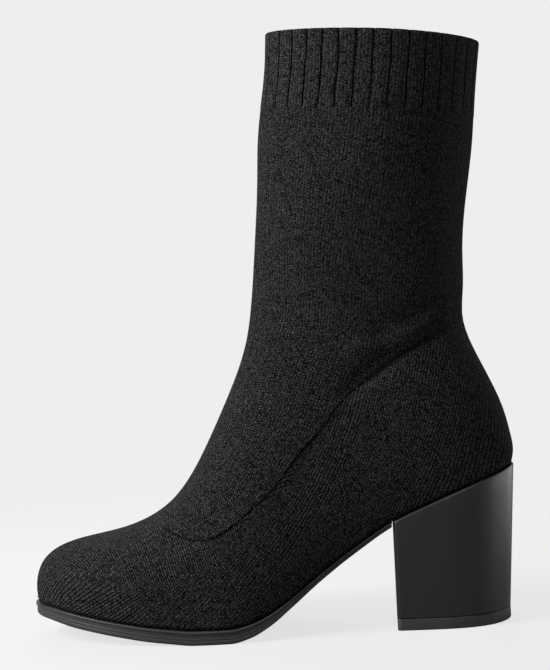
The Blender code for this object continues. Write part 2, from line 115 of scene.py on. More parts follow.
# Front line from above the toe tip to the collar: shares of length, shaft depth, toe spring,
# the seat's height, foot height and shaft height
FRONT_LINE = np.array([
    # along, deep, spring, lift, rise, shaft
    (0.0045, 0.0, 1.00, 0.00, 0.135, 0.00),
    (0.0075, 0.0, 1.00, 0.00, 0.218, 0.00),
    (0.0200, 0.0, 1.00, 0.00, 0.295, 0.00),
    (0.0455, 0.0, 0.95, 0.00, 0.363, 0.00),
    (0.0850, 0.0, 0.80, 0.00, 0.426, 0.00),
    (0.1350, 0.0, 0.60, 0.00, 0.482, 0.00),
    (0.1900, 0.0, 0.40, 0.00, 0.542, 0.00),
    (0.2400, 0.0, 0.20, 0.03, 0.593, 0.00),
    (0.2900, 0.0, 0.00, 0.10, 0.644, 0.00),
    (0.3310, 0.0, 0.00, 0.20, 0.681, 0.00),
    (0.3670, 0.0, 0.00, 0.34, 0.718, 0.00),
    (0.4000, 0.0, 0.00, 0.50, 0.756, 0.00),
    (0.5660, 0.3, 0.00, 0.70, 0.805, 0.00),
    (0.7670, 0.7, 0.00, 0.90, 0.853, 0.00),
    (0.9110, 1.0, 0.00, 1.00, 1.000, 0.00),
    (0.9240, 1.0, 0.00, 1.00, 1.000, 0.23),
    (0.9346, 1.0, 0.00, 1.00, 1.000, 0.46),
    (0.9400, 1.0, 0.00, 1.00, 1.000, 0.60),
    (0.9480, 1.0, 0.00, 1.00, 1.000, 0.71),
    (0.9580, 1.0, 0.00, 1.00, 1.000, 0.82),
    (0.9665, 1.0, 0.00, 1.00, 1.000, 1.00),
])

# Back line from above the seat to the collar: shares of length, foot height and shaft height
BACK_LINE = np.array([
    # along, rise, shaft
    (1.0000, 0.075, 0.00),
    (0.9965, 0.160, 0.00),
    (0.9865, 0.290, 0.00),
    (0.9630, 0.467, 0.00),
    (0.9338, 0.643, 0.00),
    (0.9160, 0.770, 0.00),
    (0.9100, 0.876, 0.00),
    (0.9135, 1.000, 0.00),
    (0.9165, 1.000, 0.16),
    (0.9350, 1.000, 0.44),
    (0.9470, 1.000, 0.60),
    (0.9560, 1.000, 0.78),
    (0.9700, 1.000, 1.00),
])

# Sections of the upper. Each runs from a share of the front line's length down to a share along
# the foot and then, behind the heel, to a share of the back line's length. Its half width adds
# shares of the ball's, the ankle's and the shaft's. It is widest at a share of the way down, its
# top lies inward by a share of the toe tip's place, and powers round its crown and two sides.
SECTIONS = np.array([
    # front, foot, back, ball, ankle, shaft, widest, inward, crown, outer side, inner side
    (0.000, 0.000, 0.000, 0.000, 0.00, 0.00, 0.50, 1.00, 2.0, 2.0, 2.0),
    (0.045, 0.012, 0.000, 0.265, 0.00, 0.00, 0.66, 1.00, 2.0, 2.2, 2.2),
    (0.100, 0.055, 0.000, 0.545, 0.00, 0.00, 0.68, 0.95, 2.1, 2.3, 2.3),
    (0.156, 0.145, 0.000, 0.815, 0.00, 0.00, 0.70, 0.90, 2.1, 2.3, 2.3),
    (0.235, 0.270, 0.000, 0.958, 0.00, 0.00, 0.70, 0.80, 2.0, 2.2, 2.4),
    (0.320, 0.400, 0.000, 0.945, 0.00, 0.00, 0.68, 0.70, 2.0, 2.2, 2.4),
    (0.421, 0.530, 0.000, 0.500, 0.46, 0.00, 0.60, 0.40, 2.0, 2.2, 2.3),
    (0.510, 0.680, 0.000, 0.000, 1.00, 0.00, 0.50, 0.15, 2.0, 2.3, 2.3),
    (0.580, 0.840, 0.000, 0.000, 1.00, 0.00, 0.44, 0.05, 2.0, 2.4, 2.4),
    (0.625, 1.000, 0.000, 0.000, 1.00, 0.00, 0.42, 0.00, 2.0, 2.4, 2.4),
    (0.700, 1.000, 0.250, 0.000, 0.80, 0.20, 0.44, 0.00, 2.0, 2.4, 2.4),
    (0.790, 1.000, 0.520, 0.000, 0.30, 0.70, 0.50, 0.00, 1.9, 2.1, 2.1),
    (0.884, 1.000, 0.818, 0.000, 0.00, 1.00, 0.56, 0.00, 1.7, 1.8, 1.8),
    (1.000, 1.000, 1.000, 0.000, 0.00, 1.00, 0.56, 0.00, 1.7, 1.8, 1.8),
])
HEEL_SECTION = 9  # the section that ends at the back of the seat
CUFF_SECTION = 12  # the section at the foot of the ribbed cuff
COLLAR_SECTION = 13

# Line where the knit of the heel and the sides meets that of shaft and instep, from the back
# centre to the toe: shares of the length and of the height of the ankle's bend
GORE_LINE = np.array([
    # along, up
    (0.925, 0.930),
    (0.840, 0.867),
    (0.777, 0.819),
    (0.714, 0.755),
    (0.655, 0.687),
    (0.620, 0.618),
    (0.578, 0.556),
    (0.521, 0.452),
    (0.464, 0.378),
    (0.411, 0.321),
    (0.365, 0.302),
    (0.328, 0.310),
    (0.288, 0.332),
    (0.251, 0.347),
])

# Wales below that line, by where they start on the sole's edge: their lean, the change of lean
# with height in millimetres, and their pitch along the edge in millimetres
FAN = np.array([
    # start, lean, bend, pitch
    (-0.500, 0.10, 0.026, 1.1),
    (-0.467, 0.30, 0.022, 1.3),
    (-0.425, 1.20, 0.012, 1.5),
    (-0.396, 1.80, 0.004, 2.3),
    (-0.208, 1.22, -0.004, 2.6),
    (-0.040, 0.92, -0.003, 2.7),
    (0.100, 0.80, -0.003, 2.8),
    (0.250, 0.66, -0.003, 2.8),
    (0.410, 0.38, -0.002, 3.1),
    (0.570, 0.16, -0.001, 3.6),
])


class Side(Enum):
    """Side of the foot, as the sign of its y."""

    OUTER = -1
    INNER = 1


def ease(at: Array, known: Array, values: Array) -> Array:
    """Smooth curve through a table's column that never overshoots its rows.

    A cubic runs between two rows, and its slope at a row is the harmonic mean of the slopes on
    both sides, or zero where they differ in sign.

    Args:
        at: places to read the column at.
        known: the rows' own places, rising.
        values: the column.

    Returns:
        The column's value at each place.
    """
    step = np.diff(known)
    slope = np.diff(values) / step
    tangent = np.concatenate([slope[:1], np.zeros(len(slope) - 1), slope[-1:]])
    same_way = slope[:-1] * slope[1:] > 0
    near = 2 * step[1:] + step[:-1]
    far = step[1:] + 2 * step[:-1]
    before = np.where(same_way, slope[:-1], 1.0)
    after = np.where(same_way, slope[1:], 1.0)
    tangent[1:-1] = np.where(same_way, (near + far) / (near / before + far / after), 0.0)
    at = np.clip(at, known[0], known[-1])
    row = np.clip(np.searchsorted(known, at, side="right") - 1, 0, len(step) - 1)
    part = (at - known[row]) / step[row]
    return (
        values[row] * (1 + 2 * part) * (1 - part) ** 2
        + values[row + 1] * part**2 * (3 - 2 * part)
        + tangent[row] * step[row] * part * (1 - part) ** 2
        - tangent[row + 1] * step[row] * part**2 * (1 - part)
    )


def spline(at: Array, known: Array, values: Array) -> Array:
    """Cubic curve through points with an even bend from each to the next.

    Args:
        at: places along the curve.
        known: the points' own places, rising.
        values: the points, a row each.

    Returns:
        A row for each place.
    """
    count = len(known)
    step = np.diff(known)
    slope = np.diff(values, axis=0) / step[:, None]
    inner = np.arange(1, count - 1)
    system = np.eye(count)
    system[inner, inner - 1] = step[:-1]
    system[inner, inner] = 2 * (step[:-1] + step[1:])
    system[inner, inner + 1] = step[1:]
    bend = np.zeros((count, values.shape[1]))
    bend[1:-1] = 6 * (slope[1:] - slope[:-1])
    bend = np.linalg.solve(system, bend)
    row = np.clip(np.searchsorted(known, at, side="right") - 1, 0, count - 2)
    width = step[row][:, None]
    left = (at - known[row])[:, None]
    right = width - left
    return (
        values[row] * right / width
        + values[row + 1] * left / width
        - bend[row] * right * left * (width + right) / (6 * width)
        - bend[row + 1] * left * right * (width + left) / (6 * width)
    )


def path_length(points: Array) -> Array:
    """Length run along each path up to each of its points, with the points in the last but one axis."""
    steps = np.linalg.norm(np.diff(points, axis=-2), axis=-1)
    return np.concatenate([np.zeros((*steps.shape[:-1], 1)), np.cumsum(steps, axis=-1)], axis=-1)


def smooth_line(points: Array, share: Array) -> Array:
    """Places at shares of the length of a smooth line through points.

    Args:
        points: points that the line passes through, a row each.
        share: shares of its length, 0 to 1.

    Returns:
        A row for each share.
    """
    rough = path_length(points)
    dense = spline(np.linspace(0, rough[-1], CURVE_SAMPLES), rough, points)
    run = path_length(dense)
    return np.stack([np.interp(share * run[-1], run, column) for column in dense.T], axis=-1)


def resampled(paths: Array, share: Array) -> Array:
    """Every path cut again at the same shares of its own length.

    The paths' lengths are scaled to 1 and set end to end, 2 apart, so that one reading serves all.

    Args:
        paths: paths of points, as (path, point, coordinate).
        share: shares of the length, 0 to 1.

    Returns:
        Points as (path, share, coordinate).
    """
    run = path_length(paths)
    offset = 2.0 * np.arange(len(paths))[:, None]
    known = (run / run[:, -1:] + offset).ravel()
    wanted = (share + offset).ravel()
    columns = [np.interp(wanted, known, column.ravel()) for column in np.moveaxis(paths, -1, 0)]
    return np.stack(columns, axis=-1).reshape(len(paths), len(share), -1)


def soft_step(value: Array, low: float, high: float) -> Array:
    """Rise from 0 at low to 1 at high along 3t^2 - 2t^3."""
    part = np.clip((value - low) / (high - low), 0, 1)
    return part**2 * (3 - 2 * part)


def from_line(points: Array, line: Array) -> Array:
    """Signed distance of points from a line of short straight steps, in the plane.

    Each point is dropped onto every step and the nearest foot counts. The sign is plus on the
    right of the line's run, which is above a line that runs towards -x.

    Args:
        points: points (x, z), a row each.
        line: the line's points (x, z), in order.

    Returns:
        A distance for each point.
    """
    start = line[:-1]
    step = np.diff(line, axis=0)
    offset = points[:, None, :] - start[None]
    along = np.clip((offset * step).sum(-1) / (step**2).sum(-1), 0, 1)
    away = offset - along[..., None] * step
    distance = np.linalg.norm(away, axis=-1)
    nearest = distance.argmin(axis=1)
    pick = np.arange(len(points))
    cross = step[nearest, 1] * offset[pick, nearest, 0] - step[nearest, 0] * offset[pick, nearest, 1]
    return np.where(cross >= 0, 1.0, -1.0) * distance[pick, nearest]


def unit(vectors: Array) -> Array:
    """Vectors of length 1 with the same directions."""
    return vectors / np.linalg.norm(vectors, axis=-1, keepdims=True)


def grid_quads(rows: int, columns: int) -> Array:
    """Faces of a grid of points, turned so that rows cross columns outward.

    Args:
        rows: number of rows.
        columns: number of points in a row.

    Returns:
        Four point numbers a face.
    """
    number = np.arange(rows * columns).reshape(rows, columns)
    corners = [number[:-1, :-1], number[1:, :-1], number[1:, 1:], number[:-1, 1:]]
    return np.stack(corners, axis=-1).reshape(-1, 4)


def put_mesh(
    name: str,
    points: Array,
    quads: Array,
    same: Array,
    maps: dict[str, Array] | None = None,
    measures: dict[str, Array] | None = None,
    sharp: float = SHARP_TURN,
) -> bpy.types.Object:
    """Puts a grid's points and faces into a mesh, welded where the grid closes on itself.

    A face that loses a corner to the weld becomes a triangle, and one that loses two goes.

    Args:
        name: name of the piece.
        points: places of the grid's points.
        quads: faces as four point numbers.
        same: for each point the number of the point that it is welded to, or its own.
        maps: UV maps by name, a pair for each point of the grid.
        measures: attributes by name, a number for each point of the grid.
        sharp: edges that turn by more than this angle stay sharp.

    Returns:
        The new object, linked to the scene.
    """
    kept, number = np.unique(same, return_inverse=True)
    faces = number[quads]
    repeats = faces == np.roll(faces, 1, axis=1)
    whole = repeats.sum(axis=1) == 0
    cut = repeats.sum(axis=1) == 1
    left = ~repeats[cut]
    mesh = bpy.data.meshes.new(name)
    triangles = faces[cut][left].reshape(-1, 3)
    mesh.from_pydata(points[kept].tolist(), [], faces[whole].tolist() + triangles.tolist())
    corners = np.concatenate([quads[whole].ravel(), quads[cut][left]])
    for label, places in (maps or {}).items():
        layer = mesh.uv_layers.new(name=label)
        layer.data.foreach_set("uv", places[corners].astype(np.float32).ravel())
    for label, values in (measures or {}).items():
        attribute = mesh.attributes.new(label, "FLOAT", "POINT")
        attribute.data.foreach_set("value", values[kept].astype(np.float32))
    mesh.shade_smooth()
    mesh.set_sharp_from_angle(angle=sharp)
    piece = bpy.data.objects.new(name, mesh)
    bpy.context.scene.collection.objects.link(piece)
    return piece


def put_stack(name: str, layers: Array, sharp: float = SHARP_TURN) -> bpy.types.Object:
    """Closed body through layers of edge points, with flat ladders for its bottom and top.

    Each layer is a ring down the outer edge and back up the inner one. Where both edges meet in a
    point they are welded.

    Args:
        name: name of the piece.
        layers: points as (layer, edge, station, coordinate), from the bottom to the top.
        sharp: edges that turn by more than this angle stay sharp.

    Returns:
        The new object.
    """
    count, _, stations, _ = layers.shape
    rings = np.concatenate([layers[:, 0], layers[:, 1, ::-1], layers[:, 0, :1]], axis=1)
    around = 2 * stations + 1
    number = np.arange(count * around).reshape(count, around)
    met = np.linalg.norm(layers[:, 0] - layers[:, 1], axis=-1) < WELD_DISTANCE
    same = number.copy()
    same[:, stations : 2 * stations] = np.where(
        met[:, ::-1], number[:, :stations][:, ::-1], number[:, stations : 2 * stations]
    )
    same[:, -1] = same[:, 0]
    outer = number[:, :stations]
    inner = number[:, stations : 2 * stations][:, ::-1]
    bottom = np.stack([outer[0, :-1], inner[0, :-1], inner[0, 1:], outer[0, 1:]], axis=-1)
    top = np.stack([outer[-1, :-1], outer[-1, 1:], inner[-1, 1:], inner[-1, :-1]], axis=-1)
    sides = grid_quads(count, around)[:, ::-1]
    quads = np.concatenate([sides, bottom, top])
    return put_mesh(name, rings.reshape(-1, 3), quads, same.ravel(), sharp=sharp)


@dataclass(frozen=True)
class Last:
    """The last that every piece follows, as sizes in metres and the lines worked out from them."""

    length: float = 0.240
    ball_width: float = 0.088
    heel_width: float = 0.057
    heel_length: float = 0.0602
    heel_height: float = 0.0733
    toe_spring: float = 0.011
    foot_height: float = 0.085
    shaft_height: float = 0.130
    shaft_depth: float = 0.1025
    shaft_width: float = 0.072
    ankle_width: float = 0.067
    collar_drop: float = 0.0102
    sole_thickness: float = 0.0065
    waist_thickness: float = 0.0022
    feather_inset: float = 0.0012
    knit_wall: float = 0.0020
    gap: float = 0.0003
    most_closing: float = 0.999  # share of its half width that a section may keep at its end

    @property
    def seat(self) -> float:
        """Height of the heel seat at the back."""
        return self.heel_height + self.waist_thickness

    @property
    def ankle(self) -> float:
        """Height of the ankle's bend above the floor."""
        return self.seat + self.foot_height

    def side_view(self, table: Array) -> Array:
        """Points (x, z) of a table of shares along the length and up to the ankle's bend."""
        return (table - (0.5, 0)) * (self.length, self.ankle)

    def tread(self, x: Array) -> Array:
        """Underside of the sole above the floor: toe spring and heel height, each by its share.

        Args:
            x: places along the boot.

        Returns:
            A height for each place.
        """
        along = x / self.length + 0.5
        spring = ease(along, FOOT_LINE[:, 0], FOOT_LINE[:, 1])
        lift = ease(along, FOOT_LINE[:, 0], FOOT_LINE[:, 2])
        return spring * self.toe_spring + lift * self.heel_height

    def foot(self, x: Array) -> Array:
        """Foot line: top of the sole, and behind the breast the top of the heel's seat.

        Args:
            x: places along the boot.

        Returns:
            A height for each place.
        """
        full = ease(x / self.length + 0.5, FOOT_LINE[:, 0], FOOT_LINE[:, 3])
        thickness = self.waist_thickness + full * (self.sole_thickness - self.waist_thickness)
        return self.tread(x) + thickness

    def outline(self, along: Array, inset: float) -> Array:
        """Outer and inner edge of the sole, read round its ends as on a half circle.

        Args:
            along: shares of the length.
            inset: how far the edge is drawn in.

        Returns:
            Points (x, y) as (edge, station, coordinate).
        """
        turn = np.arccos(1 - 2 * np.clip(along, 0, 1))
        known = np.arccos(1 - 2 * OUTLINE[:, 0])
        ball = ease(turn, known, OUTLINE[:, 1])
        half = ball * (self.ball_width / 2 - inset) + (1 - ball) * (self.heel_width / 2 - inset)
        x = (along - 0.5) * (self.length - 2 * inset)
        outer = np.stack([x, Side.OUTER.value * half * ease(turn, known, OUTLINE[:, 2])], axis=-1)
        inner = np.stack([x, Side.INNER.value * half * ease(turn, known, OUTLINE[:, 3])], axis=-1)
        return np.stack([outer, inner])

    def tip(self, along: float) -> Array:
        """Tip or back of the upper's outline on the foot line, as one row (x, z)."""
        x = (along - 0.5) * (self.length - 2 * self.feather_inset)
        return np.array([[x, self.foot(np.array(x)) + self.gap]])

    def front_line(self, share: Array) -> Array:
        """Front of the boot, from the toe tip over the instep to the collar.

        Args:
            share: shares of the line's length.

        Returns:
            Points (x, z), a row each.
        """
        along, deep, spring, lift, rise, shaft = FRONT_LINE.T
        x = (along - 0.5) * self.length - deep * self.shaft_depth
        z = (
            spring * self.toe_spring
            + lift * self.seat
            + rise * self.foot_height
            + shaft * self.shaft_height
        )
        return smooth_line(np.concatenate([self.tip(0), np.stack([x, z], axis=-1)]), share)

    def back_line(self, share: Array) -> Array:
        """Back of the boot, from the heel seat to the collar.

        Args:
            share: shares of the line's length.

        Returns:
            Points (x, z), a row each.
        """
        along, rise, shaft = BACK_LINE.T
        x = (along - 0.5) * self.length
        z = self.seat + rise * self.foot_height + shaft * (self.shaft_height - self.collar_drop)
        return smooth_line(np.concatenate([self.tip(1), np.stack([x, z], axis=-1)]), share)

    def section_side(self, ends: Array, half: Array, shape: Array, share: Array) -> Array:
        """Points down one side of every section, as places on its middle line and breadths.

        The breadth grows from the top as a superellipse to the half width at the share widest of
        the way down, and shrinks after it as a superellipse to the half width at the section's end.

        Args:
            ends: top and end of each section, as (end, section, coordinate).
            half: half width of each section at its widest and at its end, as (2, section).
            shape: the share widest and the powers of crown and side, as (3, section).
            share: shares of the side's length.

        Returns:
            Places and breadth as (section, share, 4).
        """
        widest, crown, side = shape[:, :, None]
        down = (1 - np.cos(np.linspace(0, pi, SECTION_SAMPLES))) / 2
        closing = np.minimum(half[1] / np.maximum(half[0], TINY), self.most_closing)[:, None]
        reach = (1 - widest) / (1 - closing**side) ** (1 / side)
        above = (1 - np.clip((widest - down) / widest, 0, 1) ** crown) ** (1 / crown)
        below = (1 - np.clip((down - widest) / reach, 0, 1) ** side) ** (1 / side)
        breadth = half[0][:, None] * np.where(down < widest, above, below)
        middle = ends[0][:, None] + (ends[1] - ends[0])[:, None] * down[:, None]
        return resampled(np.concatenate([middle, breadth[..., None]], axis=-1), share)

    def upper_rings(self, at: Array, share: Array) -> Array:
        """Points of the upper's outside, a ring for each place between the rows of SECTIONS.

        A ring runs from its section's end on the outer side over the top to the inner side.

        Args:
            at: places of the rings, where 0 is the toe tip.
            share: shares down each side, from 0 at the top to 1 at the end.

        Returns:
            Points as (ring, point, coordinate).
        """
        columns = [ease(at, np.arange(len(SECTIONS)), column) for column in SECTIONS.T]
        front, foot, back, ball, ankle, shaft, widest, inward, crown, outer_side, inner_side = columns
        half = (ball * self.ball_width + ankle * self.ankle_width + shaft * self.shaft_width) / 2
        edges = self.outline(foot, self.feather_inset)
        x, middle = edges.mean(axis=0).T
        toe_inward = OUTLINE[0, 3] * self.ball_width / 2
        top_line = self.front_line(front)
        heel_line = self.back_line(back)
        on_foot = at < HEEL_SECTION
        top = np.stack([top_line[:, 0], inward * toe_inward, top_line[:, 1]], axis=-1)
        on_sole = np.stack([x, middle, self.foot(x) + self.gap], axis=-1)
        on_back = np.stack([heel_line[:, 0], np.zeros(len(at)), heel_line[:, 1]], axis=-1)
        ends = np.stack([top, np.where(on_foot[:, None], on_sole, on_back)])
        halves = np.stack([half, np.where(on_foot, edges[1, :, 1] - middle, 0)])
        sides = []
        for side, power in ((Side.OUTER, outer_side), (Side.INNER, inner_side)):
            points = self.section_side(ends, halves, np.stack([widest, crown, power]), share)
            points[..., 1] += side.value * points[..., 3]
            sides.append(points[..., :3])
        rings = np.concatenate([sides[0][:, ::-1], sides[1][:, 1:]], axis=1)
        rings[at == 0] = top[at == 0][:, None]
        return rings


def linear(colour: str) -> tuple[float, float, float, float]:
    """Linear colour of an sRGB value.

    A level v goes to v / 12.92 up to 0.04045, and to ((v + 0.055) / 1.055)^2.4 above.

    Args:
        colour: hex value such as #1c1c1e.

    Returns:
        Red, green, blue and an alpha of 1.
    """
    levels = np.array([int(colour[start : start + 2], 16) for start in (1, 3, 5)]) / 255
    red, green, blue = np.where(levels <= 0.04045, levels / 12.92, ((levels + 0.055) / 1.055) ** 2.4)
    return float(red), float(green), float(blue), 1.0


def add_node(
    tree: bpy.types.NodeTree,
    kind: str,
    settings: dict[str, object] | None = None,
    inputs: dict[str | int, object] | None = None,
) -> bpy.types.Node:
    """Adds a node with its settings, and fills or links its inputs.

    Args:
        tree: the tree it goes into.
        kind: the node's type.
        settings: properties by name.
        inputs: for an input's name or number, its value or the socket that feeds it.

    Returns:
        The new node.
    """
    node = tree.nodes.new(kind)
    for name, value in (settings or {}).items():
        setattr(node, name, value)
    for key, value in (inputs or {}).items():
        if isinstance(value, Socket):
            tree.links.new(value, node.inputs[key])
        else:
            node.inputs[key].default_value = value
    return node


def new_material(name: str) -> tuple[bpy.types.Material, bpy.types.Node]:
    """New material with nothing but its shader.

    Args:
        name: the material's name.

    Returns:
        The material and its Principled shader.
    """
    material = bpy.data.materials.new(name)
    material.use_nodes = True
    return material, material.node_tree.nodes["Principled BSDF"]


@dataclass(frozen=True)
class Stitch:
    """How the loops of one part of the knit read: the chart they lie on and their gaps' painted shade.

    Attributes:
        chart: name of the UV map that counts wales and courses.
        wale_gap_shade: painted shade between two wales, where courses show and where wales show.
        course_gap_shade: painted shade between two courses, in the same two places.
        slant: how far a leg climbs across its half of a wale, in courses.
        drift: how far the loops wander, in wales.
        drift_scale: changes of that wander to a wale.
        wale_edge: share of a wale over which its leg rises from the gap.
        course_edge: the same share of a course.
    """

    chart: str
    wale_gap_shade: tuple[float, float]
    course_gap_shade: tuple[float, float]
    slant: float
    drift: float
    drift_scale: float = 0.6
    wale_edge: float = 0.34
    course_edge: float = 0.4


@dataclass(frozen=True)
class KnitYarn:
    """Plain jersey knit of spun black yarn: loops in upright wales, dull, with a fine fuzz.

    Each loop shows as two slanting legs. Between wales and between courses the knit is darker, as
    painted shade of the recesses, and the legs differ in tone as spun yarn does, which gives the eye
    a fine salt and pepper grain.
    Over toe, sides and heel the wales run up from the sole's edge and read as fine lines.

    Attributes:
        shaft_stitch: knit of shaft, instep and the toe's top.
        side_stitch: knit of toe, sides and heel.
        gap_shade_colour: colour of the painted shade between the loops.
        yarn_colour: colour of the lightest fibre.
        gore_width: half width of the gore line in millimetres.
        crease_shade_width: the same where the ankle's crease runs along it, widened as painted shade.
        weakest: tone of the line's weakest dashes, beside the crease and in it.
        crease: where the crease begins and is whole, along the boot.
        crease_darkness: darkness of the line in the crease.
        fade: where the line begins to fade towards the back and where it is faintest.
        faintest: share of the line that is left there.
        gore_blend: half the width in millimetres over which the two knits meet.
        dash: length of the line's dashes.
        dash_edge: values of the noise between which a dash ends.
        toe: where the shaft's knit and the line end, along the boot.
        full_shade: darkness of line and painted groove shade from which on the knit is darkest.
        shaded: tone that is left there.
        hem: height in millimetres up to which the hem is darker, as painted shade by sole and heel.
        hem_shade_tone: tone of that painted shade at the hem's lower edge.
        loop_relief: height of the loops.
        loop_strength: share of that height that the bump shows.
        fleck: size of the fibres' flecks.
        spin: power that dulls the flecks.
        roughness, sheen, fuzz, gloss: values of the shader, where fuzz is the sheen's roughness.
    """

    shaft_stitch: Stitch = Stitch("knit", (0.45, 0.45), (0.08, 0.25), slant=1.0, drift=0.4)
    side_stitch: Stitch = Stitch("heel_knit", (0.55, 0.05), (0.06, 0.55), slant=0.4, drift=0.22)
    gap_shade_colour: str = "#030303"
    yarn_colour: str = "#6c6c70"
    gore_width: float = 0.75
    crease_shade_width: float = 2.4
    weakest: tuple[float, float] = (0.3, 0.85)
    crease: tuple[float, float] = (0.040, 0.062)
    crease_darkness: float = 0.58
    fade: tuple[float, float] = (0.070, 0.100)
    faintest: float = 0.1
    gore_blend: float = 0.5
    dash: float = 1.1 * MILLIMETRE
    dash_edge: tuple[float, float] = (0.38, 0.52)
    toe: tuple[float, float] = (-0.053, -0.046)
    full_shade: float = 0.65
    shaded: float = 0.03
    hem: float = 2.2
    hem_shade_tone: float = 0.12
    loop_relief: float = 0.4 * MILLIMETRE
    loop_strength: float = 0.7
    fleck: float = 0.5 * MILLIMETRE
    spin: float = 1.5
    roughness: float = 0.92
    sheen: float = 0.02
    fuzz: float = 0.5
    gloss: float = 0.05

    def loops(self, tree: bpy.types.NodeTree, stitch: Stitch) -> Socket:
        """Relief of the loops, from 0 in the gaps to 1 on the legs, also painted into the colour as
        shade.

        Across a wale and up a leg it is a smooth step from the gap's tone to 1, and the two are
        multiplied. A leg's courses are shifted by the slant times the distance from its gap. The
        gaps' tones go from their first to their second value with the attribute wales_show.

        Args:
            tree: the material's tree.
            stitch: the part of the knit.

        Returns:
            Socket of the relief.
        """
        chart = add_node(tree, "ShaderNodeUVMap", {"uv_map": stitch.chart}).outputs[0]
        uneven = add_node(
            tree,
            "ShaderNodeTexNoise",
            {"noise_dimensions": "2D"},
            {"Vector": chart, "Scale": stitch.drift_scale, "Detail": 1.0},
        )
        centred = add_node(
            tree,
            "ShaderNodeVectorMath",
            {"operation": "SUBTRACT"},
            {0: uneven.outputs["Color"], 1: (0.5, 0.5, 0.5)},
        )
        place = add_node(
            tree,
            "ShaderNodeVectorMath",
            {"operation": "MULTIPLY_ADD"},
            {0: centred.outputs[0], 1: (stitch.drift, stitch.drift, 0.0), 2: chart},
        )
        parts = add_node(tree, "ShaderNodeSeparateXYZ", None, {0: place.outputs[0]})
        pingpong = {"operation": "PINGPONG"}
        across = add_node(tree, "ShaderNodeMath", pingpong, {0: parts.outputs[0], 1: 0.5})
        slant = add_node(
            tree,
            "ShaderNodeMath",
            {"operation": "MULTIPLY_ADD"},
            {0: across.outputs[0], 1: stitch.slant, 2: parts.outputs[1]},
        )
        along = add_node(tree, "ShaderNodeMath", pingpong, {0: slant.outputs[0], 1: 0.5})
        show = add_node(tree, "ShaderNodeAttribute", {"attribute_name": "wales_show"}).outputs["Fac"]
        # tones of the painted shade between wales and between courses
        gaps = [
            add_node(tree, "ShaderNodeMapRange", None, {"Value": show, "To Min": low, "To Max": high})
            for low, high in (stitch.wale_gap_shade, stitch.course_gap_shade)
        ]
        wale = add_node(
            tree,
            "ShaderNodeMapRange",
            {"interpolation_type": "SMOOTHSTEP"},
            {"Value": across.outputs[0], "From Max": stitch.wale_edge, "To Min": gaps[0].outputs[0]},
        )
        course = add_node(
            tree,
            "ShaderNodeMapRange",
            {"interpolation_type": "SMOOTHSTEP"},
            {"Value": along.outputs[0], "From Max": stitch.course_edge, "To Min": gaps[1].outputs[0]},
        )
        relief = add_node(
            tree,
            "ShaderNodeMath",
            {"operation": "MULTIPLY"},
            {0: wale.outputs[0], 1: course.outputs[0]},
        )
        return relief.outputs[0]

    def flecks(self, tree: bpy.types.NodeTree, place: Socket) -> Socket:
        """Tone of the fibres: a random number for each cube of space, raised to the spin.

        Spun fibre is finer than this. The cubes are half a millimetre, which is as fine as the
        picture can show.

        Args:
            tree: the material's tree.
            place: object coordinates.

        Returns:
            Socket of the tone.
        """
        cells = add_node(
            tree,
            "ShaderNodeVectorMath",
            {"operation": "SCALE"},
            {0: place, "Scale": 1 / self.fleck},
        )
        cell = add_node(tree, "ShaderNodeVectorMath", {"operation": "FLOOR"}, {0: cells.outputs[0]})
        tone = add_node(tree, "ShaderNodeTexWhiteNoise", None, {0: cell.outputs[0]})
        dull = add_node(
            tree, "ShaderNodeMath", {"operation": "POWER"}, {0: tone.outputs[0], 1: self.spin}
        )
        return dull.outputs[0]

    def gore_shade(self, tree: bpy.types.NodeTree, gore: Socket, place: Socket, x: Socket) -> Socket:
        """Darkness of the gore line, from 0 beside it to 1 on it.

        It is broken up into dashes, widened by painted shade where the ankle's crease runs along it,
        and fades towards the back.

        Args:
            tree: the material's tree.
            gore: signed distance from the line in millimetres.
            place: object coordinates.
            x: their part along the boot.

        Returns:
            Socket of the darkness.
        """
        near = add_node(tree, "ShaderNodeMath", {"operation": "ABSOLUTE"}, {0: gore})
        crease = add_node(
            tree,
            "ShaderNodeMapRange",
            {"interpolation_type": "SMOOTHSTEP"},
            {"Value": x, "From Min": self.crease[0], "From Max": self.crease[1]},
        )
        # the line widens into painted shade of the ankle's crease
        width = add_node(
            tree,
            "ShaderNodeMapRange",
            None,
            {"Value": crease.outputs[0], "To Min": self.gore_width, "To Max": self.crease_shade_width},
        )
        weakest = add_node(
            tree,
            "ShaderNodeMapRange",
            None,
            {"Value": crease.outputs[0], "To Min": self.weakest[0], "To Max": self.weakest[1]},
        )
        line = add_node(
            tree,
            "ShaderNodeMapRange",
            {"interpolation_type": "SMOOTHSTEP"},
            {"Value": near.outputs[0], "From Min": width.outputs[0], "From Max": 0.0},
        )
        breaks = add_node(
            tree, "ShaderNodeTexNoise", None, {"Vector": place, "Scale": 1 / self.dash, "Detail": 0.0}
        )
        dashes = add_node(
            tree,
            "ShaderNodeMapRange",
            None,
            {
                "Value": breaks.outputs[0],
                "From Min": self.dash_edge[0],
                "From Max": self.dash_edge[1],
                "To Min": weakest.outputs[0],
            },
        )
        dashed = add_node(
            tree,
            "ShaderNodeMath",
            {"operation": "MULTIPLY"},
            {0: line.outputs[0], 1: dashes.outputs[0]},
        )
        fade = add_node(
            tree,
            "ShaderNodeMapRange",
            {"interpolation_type": "SMOOTHSTEP"},
            {
                "Value": x,
                "From Min": self.fade[0],
                "From Max": self.fade[1],
                "To Min": 1.0,
                "To Max": self.faintest,
            },
        )
        faded = add_node(
            tree,
            "ShaderNodeMath",
            {"operation": "MULTIPLY"},
            {0: dashed.outputs[0], 1: fade.outputs[0]},
        )
        darkness = add_node(
            tree,
            "ShaderNodeMapRange",
            None,
            {"Value": crease.outputs[0], "To Min": 1.0, "To Max": self.crease_darkness},
        )
        shade = add_node(
            tree,
            "ShaderNodeMath",
            {"operation": "MULTIPLY"},
            {0: faded.outputs[0], 1: darkness.outputs[0]},
        )
        return shade.outputs[0]

